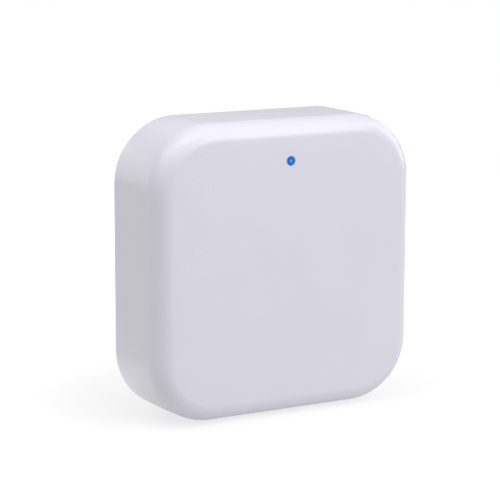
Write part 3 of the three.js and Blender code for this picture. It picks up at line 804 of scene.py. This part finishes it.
# first x and z, step in x and z, count, whether they stand along z, and the side of the board
SMALL_PART_ROWS = [
    (-13.5, 29.0, 1.5, 0, 7, True, "front"),
    (-16.6, 17.6, 0, 1.4, 6, False, "front"),
    (-2.6, 12.8, 0, 1.3, 4, False, "front"),
    (3.2, 31.5, 1.6, 0, 5, True, "front"),
    (21.5, 37.0, 0, 1.5, 4, False, "front"),
    (22.0, 28.5, 0, 1.5, 5, False, "rear"),
    (9.5, 28.0, 0, 1.5, 4, False, "rear"),
    (8.0, 35.6, 1.6, 0, 5, True, "rear"),
    (-12.0, 40.0, 0, 1.5, 6, False, "rear"),
    (-20.0, 16.0, 1.6, 0, 7, True, "rear"),
]
SMALL_PART_BODIES = ["ceramic", "ceramic", "chip_resin"]
LARGE_SHARE = 0.3


def small_part(parts, spot, along_z, y_from, way, large, body):
    """A surface-mount resistor or capacitor with its plated ends."""
    length, width, rise = (1.6, 0.8, 0.7) if large else (1.0, 0.5, 0.35)
    cap = length * 0.2
    cap_offset = (length - cap) / 2
    shapes = [(0, length - 2 * cap, width * 0.95, rise * 0.94, body)]
    shapes += [(offset, cap, width, rise, "shield_steel") for offset in (-cap_offset, cap_offset)]
    for offset, long, wide, high, slot in shapes:
        shift, size = (spot_at(0, offset), (wide, long)) if along_z else (spot_at(offset, 0), (long, wide))
        parts.add(slab(spot + shift, size, (y_from, y_from + way * high), corner=0.05, edge=0.04), slot)


def board_outline(box):
    """The board's outline with its notched corners, each bend eased."""
    notch, ease = 20.6, 1.0
    right, left, top = box.high.x, box.low.x, box.height / 2
    corners = [(right, -notch), (right, notch), (notch, notch), (notch, top),
               (-notch, top), (-notch, notch), (left, notch), (left, -notch),
               (-notch, -notch), (-notch, -top), (notch, -top), (notch, -notch)]
    outline = []
    for i, corner in enumerate(corners):
        here = Vector(corner)
        back = (Vector(corners[i - 1]) - here).normalized()
        ahead = (Vector(corners[(i + 1) % len(corners)]) - here).normalized()
        outline += [here + back * before + ahead * after for after, before in rounding(4, ease)]
    return outline


def laminate(box):
    """The board itself, with its screw holes."""
    outline = board_outline(box)
    board = loft("board", [[(u, y, CENTRE_Z + v) for u, v in outline] for y in (box.low.y, box.high.y)])
    hole_radius = 1.15
    from_y, to_y = box.low.y - CUT_PAST, box.high.y + CUT_PAST
    holes = [rod("hole", hole_radius, from_y, to_y, spot, HOLE_STEPS) for spot in BOARD_SCREWS]
    return solid_of(combine(board, holes, "DIFFERENCE"))


def build_board():
    """The laminate, plated stitching dots along two edges, and rows of small parts."""
    parts = Parts("main_board")
    box = parts.box
    parts.add(laminate(box), "board_laminate")
    plate, dot_radius, dot_margin = 0.03, 0.3, 1.2
    dot_front, dot_rear = box.high.y - plate, box.high.y + plate
    dot = [(0, dot_front), (dot_radius, dot_front), (dot_radius, dot_rear), (0, dot_rear)]
    for x in range(-18, 19, 3):
        for z in (box.low.z + dot_margin, box.high.z - dot_margin):
            parts.add(turned_shape(dot, spot_at(x, z), 12), "contact_gold")
    dice = random.Random(7)
    for x, z, step_x, step_z, count, along_z, side in SMALL_PART_ROWS:
        y_from, way = (box.low.y, -1) if side == "front" else (box.high.y, 1)
        for i in range(count):
            body = dice.choice(SMALL_PART_BODIES)
            large = dice.random() < LARGE_SHARE
            small_part(parts, spot_at(x + step_x * i, z + step_z * i), along_z, y_from, way, large, body)
    parts.build("main_board_assembly", "board_laminate")


def module_parts(node, pads_along_x, pitch):
    """A radio module's board with plated pads along two edges, and the depths of its plating."""
    parts = Parts(node)
    box = parts.box
    plate, pad_length, pad_width = 0.03, 0.9, pitch * 0.5
    span = (box.high.y, box.low.y + plate)
    parts.add(slab(box.middle, (box.width, box.height), span, corner=0.3, edge=0.03), "module_laminate")
    y_range = (box.low.y, box.low.y + 2 * plate)
    along, across = (0, 2) if pads_along_x else (2, 0)
    low, high = box.low[across], box.high[across]
    length = box.width if pads_along_x else box.height
    for offset in row(int(length / pitch) - 1, pitch):
        centre = box.middle[along] + offset
        strip = (centre - pad_width / 2, centre + pad_width / 2)
        for reach in ((low, low + pad_length), (high - pad_length, high)):
            x_range, z_range = (strip, reach) if pads_along_x else (reach, strip)
            parts.add(block(x_range, y_range, z_range), "contact_gold")
    return parts, y_range


def printed_antenna(parts, x_from, x_to, z_low, z_high, y_range):
    """A zigzag track at the module's end."""
    pitch, track = 1.5, 0.5
    for i in range(int((x_to - x_from) / pitch)):
        x = x_from + i * pitch
        parts.add(block((x, x + track), y_range, (z_low, z_high)), "contact_gold")
        z_range = (z_high - track, z_high) if i % 2 == 0 else (z_low, z_low + track)
        parts.add(block((x + track, x + pitch), y_range, z_range), "contact_gold")


def build_modules():
    wifi, y_range = module_parts("wifi_module_board", True, 1.5)
    box = wifi.box
    edge_gap, shield_gap, pad_gap = 0.8, 0.6, 2.2
    antenna_end = Extent("wifi_shield").low.x - shield_gap
    z_low, z_high = box.low.z + pad_gap, box.high.z - pad_gap
    printed_antenna(wifi, box.low.x + edge_gap, antenna_end, z_low, z_high, y_range)
    wifi.build("wifi_module", "module_laminate")
    radio, y_range = module_parts("radio_module_board", False, 1.3)
    radio.build("radio_module", "module_laminate")


def build_shield(node, name):
    """A drawn sheet-metal can, open towards the board, with rows of pressed dimples."""
    parts = Parts(node)
    box = parts.box
    sheet, bend, corner = 0.2, 0.45, 0.9
    dimple_rise, dimple_gap, dimple_margin, row_margin = 0.04, 2.4, 1.4, 2.0
    top_y = box.low.y + dimple_rise

    def ring(y, inset):
        return flat_ring(box.middle, y, box.width - 2 * inset, box.height - 2 * inset, corner - inset, 6)

    rings = [ring(top_y + sheet, sheet + bend), ring(top_y + bend, sheet)]
    rings += [ring(box.high.y, sheet), ring(box.high.y, 0)]
    rings += [ring(top_y + back, inset) for inset, back in rounding(4, bend)]
    parts.add(loft_shape(rings), "shield_steel")
    dimple = [(0, top_y + 0.05), (0.35, top_y + 0.02), (0.24, box.low.y + 0.01), (0, box.low.y)]
    for x in row(int((box.width - 2 * row_margin) / dimple_gap) + 1, dimple_gap):
        for z in (box.low.z + dimple_margin, box.high.z - dimple_margin):
            parts.add(turned_shape(dimple, spot_at(box.middle.x + x, z), 16), "shield_steel")
    parts.build(name, "shield_steel")


def build_quad_chip(node, name, pads, front):
    """A leadless square chip, with pads on four sides and a dot at the first pad."""
    parts = Parts(node)
    box, spot = parts.box, parts.box.middle
    foot_y, top_y, way = (box.high.y, box.low.y, -1) if front else (box.low.y, box.high.y, 1)
    trim, mark = 0.06, 0.02
    size = (box.width - trim, box.height - trim)
    parts.add(slab(spot, size, (foot_y, top_y - way * mark), corner=0.15, edge=0.06), "chip_resin")
    half, pitch = box.width / 2, (box.width - 1) / pads
    pad_long, pad_wide = 0.35, 0.28 * pitch
    y_range = (foot_y, foot_y + way * 0.2)
    for offset in row(pads, pitch):
        strip = (offset - pad_wide, offset + pad_wide)
        for sign in (-1, 1):
            reach = (sign * half, sign * (half - pad_long))
            for along_x, along_z in ((reach, strip), (strip, reach)):
                pad = block([spot.x + v for v in along_x], y_range, [spot.z + v for v in along_z])
                parts.add(pad, "shield_steel")
    dot_offset, dot_foot = half * 0.68, top_y - way * 3 * mark
    dot = [(0, dot_foot), (0.3, dot_foot), (0.28, top_y), (0, top_y)]
    parts.add(turned_shape(dot, spot + spot_at(-dot_offset, dot_offset), 20), "ferrite")
    parts.build(name, "chip_resin")


def bent_leg(path, z_from, z_to, thick):
    """A flat metal strip bent along (x, y) points."""
    rings = []
    for i, (x, y) in enumerate(path):
        before, after = path[max(i - 1, 0)], path[min(i + 1, len(path) - 1)]
        run, rise = after[0] - before[0], after[1] - before[1]
        half = thick / 2 / math.hypot(run, rise)
        sides = [(x - rise * half, y + run * half), (x + rise * half, y - run * half)]
        rings.append([(*side, z_from) for side in sides] + [(*side, z_to) for side in reversed(sides)])
    return loft_shape(rings)


def build_flash():
    """A small-outline chip with four bent legs on each side."""
    parts = Parts("flash_chip")
    box, spot = parts.box, parts.box.middle
    leg_reach, leg_width, leg_thick, leg_pitch = 0.8, 0.42, 0.16, 1.27
    body_half, body_lift = box.width / 2 - leg_reach, 0.12
    span = (box.high.y - body_lift, box.low.y)
    parts.add(slab(spot, (2 * body_half, box.height), span, corner=0.1, edge=0.12), "chip_resin")
    foot_y = box.high.y - leg_thick / 2
    bends = ((-0.1, spot.y), (0.2, spot.y), (0.35, foot_y), (leg_reach, foot_y))
    for offset in row(4, leg_pitch):
        z_from, z_to = spot.z + offset - leg_width / 2, spot.z + offset + leg_width / 2
        for sign in (-1, 1):
            path = [(spot.x + sign * (body_half + x), y) for x, y in bends]
            parts.add(bent_leg(path, z_from, z_to, leg_thick), "shield_steel")
    parts.build("flash_memory", "chip_resin")


def build_crystal():
    """A steel lid on a dark base."""
    parts = Parts("crystal")
    box = parts.box
    seam_y, lid_trim = box.high.y - 0.4, 0.3
    base_size = (box.width, box.height)
    lid_size = (box.width - lid_trim, box.height - lid_trim)
    parts.add(slab(box.middle, base_size, (box.high.y, seam_y), corner=0.2, edge=0.03), "ferrite")
    parts.add(slab(box.middle, lid_size, (seam_y, box.low.y), corner=0.3, edge=0.08), "shield_steel")
    parts.build("crystal_can", "shield_steel")


def build_status_light():
    """A clear lens on a dark base, with a plated pad at each end."""
    parts = Parts("status_light")
    box = parts.box
    base_y, pad, trim = box.high.y - 0.25, 0.3, 0.02
    base_size = (box.width - trim, box.height - trim)
    lens_size = (box.width * 0.6, box.height - trim)
    parts.add(slab(box.middle, base_size, (box.high.y, base_y), corner=0.05, edge=0.02), "module_laminate")
    for edge, inward in ((box.low.x, pad), (box.high.x, -pad)):
        y_range = (box.high.y, base_y - trim)
        parts.add(block((edge, edge + inward), y_range, (box.low.z, box.high.z)), "contact_gold")
    parts.add(slab(box.middle, lens_size, (base_y, box.low.y), corner=0.1, edge=0.12), "light_resin")
    parts.build("status_light_chip", "light_resin")


def build_capacitor():
    """An aluminium can with a rolled neck and a rounded end, on a black base."""
    parts = Parts("bulk_capacitor")
    box = parts.box
    radius, end_round = box.width / 2 - 0.15, 0.4
    base_y, sunk = box.high.y - 0.8, 0.2
    neck_y, neck_radius = base_y - 0.9, radius - 0.22
    profile = [(0, base_y + sunk), (radius, base_y + sunk), (radius, neck_y + 0.3),
               (neck_radius, neck_y + 0.1), (neck_radius, neck_y - 0.1), (radius, neck_y - 0.3)]
    profile += [(radius - inset, box.low.y + back) for inset, back in rounding(5, end_round)]
    profile.append((0, box.low.y))
    parts.add(turned_shape(profile, box.middle, COARSE_STEPS), "capacitor_aluminium")
    size, span = (box.width, box.height), (box.high.y, base_y)
    parts.add(slab(box.middle, size, span, corner=0.9, edge=0.08), "switch_plastic")
    parts.build("bulk_capacitor_can", "capacitor_aluminium")


def build_fuse():
    """A laminate body between two plated ends."""
    parts = Parts("fuse")
    box = parts.box
    cap = 0.5
    body_size, body_span = (box.width - 2 * cap, box.height - 0.1), (box.low.y, box.high.y - 0.05)
    parts.add(slab(box.middle, body_size, body_span, corner=0.05, edge=0.05), "fuse_laminate")
    for x in (box.low.x + cap / 2, box.high.x - cap / 2):
        end_span = (box.low.y, box.high.y)
        end = slab(spot_at(x, box.middle.z), (cap, box.height), end_span, corner=0.1, edge=0.1)
        parts.add(end, "shield_steel")
    parts.build("fuse_chip", "fuse_laminate")


def build_inductor():
    """A ferrite block with the end of its core showing, and two plated feet."""
    parts = Parts("power_inductor")
    box, spot = parts.box, parts.box.middle
    trim, core_rise, foot_long, foot_half, foot_high = 0.1, 0.03, 1.1, 1.9, 0.25
    size, span = (box.width - trim, box.height - trim), (box.low.y, box.high.y - core_rise)
    parts.add(slab(spot, size, span, corner=1.3, edge=0.35), "ferrite")
    for edge, inward in ((box.low.x, foot_long), (box.high.x, -foot_long)):
        y_range, z_range = (box.low.y, box.low.y + foot_high), (spot.z - foot_half, spot.z + foot_half)
        parts.add(block((edge, edge + inward), y_range, z_range), "shield_steel")
    core_y = box.high.y - 0.1
    core = [(0, core_y), (2.0, core_y), (1.95, box.high.y), (0, box.high.y)]
    parts.add(turned_shape(core, spot, COARSE_STEPS), "chip_resin")
    parts.build("power_inductor_block", "ferrite")


def build_switch_body():
    """The reset switch's housing, with the bore that its plunger stands in."""
    box = Extent("switch_body")
    bore_radius, bore_floor = 1.9, box.high.y - 1.2
    size, span = (box.width, box.height), (box.low.y, box.high.y)
    body = mesh_object("switch_housing", *slab(box.middle, size, span, corner=0.5, edge=0.12))
    bore = flared_hole("bore", bore_radius, box.high.y, bore_floor, box.middle, lip=0.1)
    combine(body, [bore], "DIFFERENCE")
    place(shade(body, 35), "switch_body", "switch_plastic")


def build_switch_plunger():
    box = Extent("switch_plunger")
    radius, edge = box.width / 2, 0.3
    profile = [(0, box.low.y), (radius, box.low.y)]
    profile += [(radius - inset, box.high.y - back) for inset, back in rounding(4, edge)]
    profile.append((0, box.high.y))
    plunger = turned("switch_plunger_pin", profile, box.middle, COARSE_STEPS)
    place(shade(plunger), "switch_plunger", "switch_plastic", "switch_plunger")


def build_gasket():
    parts = Parts("light_gasket")
    low_y, high_y = parts.box.low.y, parts.box.high.y
    inner, outer, edge = 1.5, parts.box.width / 2, 0.2
    profile = [(inner, low_y), (outer - edge, low_y), (outer, low_y + edge),
               (outer, high_y - edge), (outer - edge, high_y), (inner, high_y)]
    parts.add(ring_shape(profile, parts.box.middle, COARSE_STEPS), "gasket_foam")
    parts.build("light_gasket_ring", "gasket_foam")


def thread_shape(core, crest, pitch, y_from, y_to, spot, steps=24):
    """A helical ridge round a shank along Y, which fades out at both ends."""
    count = int((y_to - y_from) / pitch * steps)
    sunk, half = core - 0.1, pitch * 0.3
    rings = []
    for i in range(count + 1):
        turn = 2 * math.pi * i / steps
        y = y_from + pitch * i / steps
        reach = core + (crest - core) * min(1.0, i / steps, (count - i) / steps)
        section = [(sunk, y - half), (reach, y), (sunk, y + half)]
        rings.append([(spot.x + r * math.cos(turn), v, spot.z + r * math.sin(turn)) for r, v in section])
    return loft_shape(rings)


def build_screw(node, name, head_height, core, crest, pitch):
    """A thread-forming screw with a domed head and a cross recess."""
    parts = Parts(node)
    box, spot = parts.box, parts.box.middle
    radius, seat_y, tip_y = box.width / 2, box.high.y - head_height, box.low.y
    point, tip_radius, head_edge = core * 1.2, core * 0.35, 0.1
    profile = [(0, tip_y), (tip_radius, tip_y), (core, tip_y + point), (core, seat_y),
               (radius - head_edge, seat_y), (radius, seat_y + head_edge)]
    dome = rounding(6, radius * 0.4, head_height * 0.7)
    profile += [(radius - inset, box.high.y - back) for inset, back in dome]
    profile.append((0, box.high.y))
    screw = turned(name, profile, spot, COARSE_STEPS)
    reach, slot, depth = radius * 0.5, radius * 0.12, head_height * 0.55
    y_range = (box.high.y - depth, box.high.y + CUT_PAST)
    cross = []
    for half_x, half_z in ((reach, slot), (slot, reach)):
        bar = block((spot.x - half_x, spot.x + half_x), y_range, (spot.z - half_z, spot.z + half_z))
        cross.append(mesh_object("cross", *bar))
    parts.add(solid_of(combine(screw, cross, "DIFFERENCE")), "screw_steel")
    thread_start, thread_end = tip_y + point * 0.6, seat_y - 0.3
    parts.add(thread_shape(core, crest, pitch, thread_start, thread_end, spot), "screw_steel")
    parts.build(name, "screw_steel")


# head height, core and crest radius, and pitch
CASE_SCREW = (1.5, 0.86, 1.12, 1.1)
BOARD_SCREW = (1.3, 0.62, 0.82, 0.8)


def build_screws():
    for i in range(1, 5):
        build_screw(f"case_screw_{i}", f"case_screw_turned_{i}", *CASE_SCREW)
    for i in range(1, 4):
        build_screw(f"board_screw_{i}", f"board_screw_turned_{i}", *BOARD_SCREW)


def side_ring(spot, x, depth, height, radius, steps):
    """A rounded rectangle parallel to the side wall, about a spot."""
    return [(x, spot.y + u, spot.z + v) for u, v in rounded_rectangle(depth, height, radius, steps)]


def build_inlet_shell():
    """The power inlet's rolled steel shell, with a rounded mouth and a closed back."""
    parts = Parts("inlet_shell")
    box = parts.box
    wall, lip = 0.3, 0.1
    full_round = box.depth / 2 - 0.001

    def ring(x, inset):
        depth, height = box.depth - 2 * inset, box.height - 2 * inset
        return side_ring(box.middle, x, depth, height, full_round - inset, 20)

    rings = [ring(box.low.x, 0)]
    rings += [ring(box.high.x - back, inset) for inset, back in rounding(4, lip)]
    rings += [ring(box.high.x - back, wall - out) for back, out in rounding(4, lip)]
    rings.append(ring(box.low.x + wall, wall))
    parts.add(loft_shape(rings), "shield_steel")
    parts.build("inlet_metal_shell", "shield_steel")


def build_inlet_tongue():
    """The inlet's tongue, with a row of gold contacts on both faces."""
    parts = Parts("inlet_tongue")
    box, spot = parts.box, parts.box.middle
    root_x, root_half = box.low.x + 1.4, box.depth / 2
    half_thick, nose = 0.35, 0.25
    nose_x = box.high.x - nose

    def ring(x, half, inset):
        return side_ring(spot, x, 2 * half, box.height - 2 * inset, min(0.2, half * 0.6), 4)

    root = [ring(box.low.x, root_half, 0), ring(root_x, root_half, 0)]
    blade = [ring(root_x - 0.1, half_thick, 0), ring(nose_x, half_thick, 0),
             ring(box.high.x, half_thick * 0.5, nose)]
    parts.add(loft_shape(root), "switch_plastic")
    parts.add(loft_shape(blade), "switch_plastic")
    count, pitch, half_width, rise = 12, 0.5, 0.13, 0.025
    for offset in row(count, pitch):
        z_range = (spot.z + offset - half_width, spot.z + offset + half_width)
        for sign in (-1, 1):
            y_range = (spot.y + sign * half_thick * 0.9, spot.y + sign * (half_thick + rise))
            parts.add(block((root_x, nose_x - 0.3), y_range, z_range), "contact_gold")
    parts.build("inlet_contact_tongue", "switch_plastic")


def build_inner_pieces():
    build_board()
    build_modules()
    build_shield("wifi_shield", "wifi_shield_can")
    build_shield("radio_shield", "radio_shield_can")
    build_quad_chip("processor", "processor_chip", pads=14, front=True)
    build_quad_chip("voltage_regulator", "voltage_regulator_chip", pads=5, front=False)
    build_flash()
    build_crystal()
    build_status_light()
    build_capacitor()
    build_fuse()
    build_inductor()
    build_switch_body()
    build_switch_plunger()
    build_gasket()
    build_screws()
    build_inlet_shell()
    build_inlet_tongue()


# ---- Pieces that keep their CAD shape --------------------------------------------------------------

def finish_cad_nodes():
    """Every CAD node that still shows gets softened edges and its slot's material."""
    sharp = math.radians(40)
    for entry in frame["record"]["subparts"]:
        node = frame["nodes"][entry["node"]]
        if node.hide_render:
            continue
        bevel = node.modifiers.new("edges", "BEVEL")
        bevel.width = 0.06 * MM
        bevel.segments = 2
        bevel.limit_method = "ANGLE"
        bevel.angle_limit = sharp
        bevel.use_clamp_overlap = True
        node.data.shade_smooth()
        node.data.set_sharp_from_angle(angle=sharp)
        node.data.materials.clear()
        node.data.materials.append(MATERIALS[entry["material_slot"]])


# ---- Stage -----------------------------------------------------------------------------------------

TARGET = Vector((0, (FRONT_Y + RIM_Y) / 2, CENTRE_Z))

WORLD_LIGHT = 0.356
FLOOR_GREY = 0.35
FLOOR_RADIUS = 400
FLOOR_SIDES = 128

# The floor's seen glow is dimmer near the object than far off: painted shade round the object.
# where an easing starts, the distances over which it eases in millimetres, and its two strengths
FLOOR_SEEN_GLOW_AND_PAINTED_SHADE = ((0, 0, 0), 30, 140, 0.65, 1.0)
FLOOR_CAST = ((-45, 28, 0), 0, 38, 0.839, 0.381)

# name: azimuth and elevation seen from the object, width and height in degrees, distance and radiance
SOFTBOXES = {
    "key": (30, 32, 30, 20, 900, 1.033),
    "key_middle": (30, 15, 30, 14, 900, 0.277),
    "key_low": (30, 4, 30, 8, 900, 0.33),
    "front": (0, 32, 30, 20, 900, 0.473),
    "overhead": (0, 84, 40, 40, 250, 0.263),
    "left": (-90, 32, 30, 20, 220, 0.323),
    "left_high": (-90, 53, 45, 22, 220, 0.487),
    "left_top": (-60, 70, 30, 20, 160, 0.584),
    "rear": (-180, 15, 30, 14, 900, 0.736),
    "rear_left": (-150, 15, 30, 14, 900, 0.219),
    "rear_left_low": (-150, 4, 30, 8, 900, 0.23),
    "rear_right": (120, 15, 30, 14, 900, 0.285),
    "right_low": (90, 4, 30, 8, 900, 0.713),
    "right": (90, 15, 30, 14, 900, 0.403),
    "right_middle": (90, 32, 30, 20, 900, 0.399),
    "right_high": (45, 53, 45, 22, 300, 0.516),
}

CAMERA_AZIMUTH = -30.618
CAMERA_ELEVATION = 10.677
CAMERA_ROLL = 0.221
CAMERA_DISTANCE = 493.56
CAMERA_FOCAL_SHARE = 4.1534
CAMERA_SHIFT = (-0.0337, 0.0229)
SENSOR = 36.0


def seen_or_cast(n, seen, cast):
    """A strength that is one value where it is seen directly and another where it lights the object."""
    camera_ray = n.add("ShaderNodeLightPath").outputs["Is Camera Ray"]
    return n.spread(camera_ray, cast, seen, from_low=0, from_high=1)


def eased(n, spot, near, far, near_value, far_value):
    """A value that eases from one to another with the distance from a spot."""
    distance = n.vector("DISTANCE", n.position, Vector(spot) * MM, output="Value")
    return n.spread(distance, near_value, far_value, near * MM, far * MM, interpolation_type="SMOOTHSTEP")


def build_floor():
    """A pale disc. Its seen glow is white away from the object and dimmer near it, which paints shade round
    the object besides the shadow that the lamps cast. It throws most light behind its left.
    """
    around = [2 * math.pi * i / FLOOR_SIDES for i in range(FLOOR_SIDES)]
    rim = [(FLOOR_RADIUS * math.cos(a), FLOOR_RADIUS * math.sin(a), 0) for a in around]
    floor = mesh_object("floor", rim, [tuple(range(FLOOR_SIDES))])
    n = MaterialNodes("floor paper")
    floor.data.materials.append(n.shader({
        "Base Color": grey(FLOOR_GREY),
        "Roughness": n.spread(n.noise(20), 0.85, 0.95),
        "Specular IOR Level": 0.2,
        "Emission Color": grey(1),
        # the seen glow is dimmer near the object: painted shade round it
        "Emission Strength": seen_or_cast(n, eased(n, *FLOOR_SEEN_GLOW_AND_PAINTED_SHADE), eased(n, *FLOOR_CAST)),
    }))


def direction(azimuth, elevation):
    a, e = math.radians(azimuth), math.radians(elevation)
    return Vector((math.sin(a) * math.cos(e), -math.cos(a) * math.cos(e), math.sin(e)))


def aim(thing, azimuth, elevation, distance, roll=0.0):
    """Puts a light or camera at a distance from the object, turned to face it."""
    away = direction(azimuth, elevation)
    turn = away.to_track_quat("Z", "Y").to_matrix()
    right = turn.col[0] * math.cos(math.radians(roll)) + turn.col[1] * math.sin(math.radians(roll))
    turn.col[0], turn.col[1] = right, away.cross(right)
    thing.location = (TARGET + away * distance) * MM
    thing.rotation_mode = "QUATERNION"
    thing.rotation_quaternion = turn.to_quaternion()
    bpy.context.scene.collection.objects.link(thing)


def build_softbox(name, azimuth, elevation, wide, high, distance, radiance):
    """A softbox that faces the object. Its power follows from its radiance and size."""
    data = bpy.data.lights.new(name, "AREA")
    data.shape = "RECTANGLE"
    data.size = 2 * distance * MM * math.tan(math.radians(wide / 2))
    data.size_y = 2 * distance * MM * math.tan(math.radians(high / 2))
    data.energy = radiance * math.pi ** 2 * data.size * data.size_y
    light = bpy.data.objects.new(name, data)
    light.visible_camera = False
    aim(light, azimuth, elevation, distance)


def build_world():
    world = bpy.data.worlds.new("studio")
    bpy.context.scene.world = world
    n = Nodes(world, "Background")
    n.shader({"Color": grey(1), "Strength": seen_or_cast(n, 1.0, WORLD_LIGHT)})


def build_camera():
    data = bpy.data.cameras.new("camera")
    data.sensor_width = SENSOR
    data.lens = SENSOR * CAMERA_FOCAL_SHARE
    data.shift_x, data.shift_y = CAMERA_SHIFT
    data.clip_start = 0.01
    camera = bpy.data.objects.new("camera", data)
    aim(camera, CAMERA_AZIMUTH, CAMERA_ELEVATION, CAMERA_DISTANCE, CAMERA_ROLL)
    bpy.context.scene.camera = camera


# ---- Assembly --------------------------------------------------------------------------------------

build_shell()
build_cover()
for foot_index in range(1, 5):
    build_foot(foot_index)
build_label()
build_button()
build_light_pipe()
build_inner_pieces()
finish_cad_nodes()
build_floor()
build_world()
for softbox_name, softbox_values in SOFTBOXES.items():
    build_softbox(softbox_name, *softbox_values)
build_camera()
bpy.context.scene.view_settings.view_transform = "Standard"
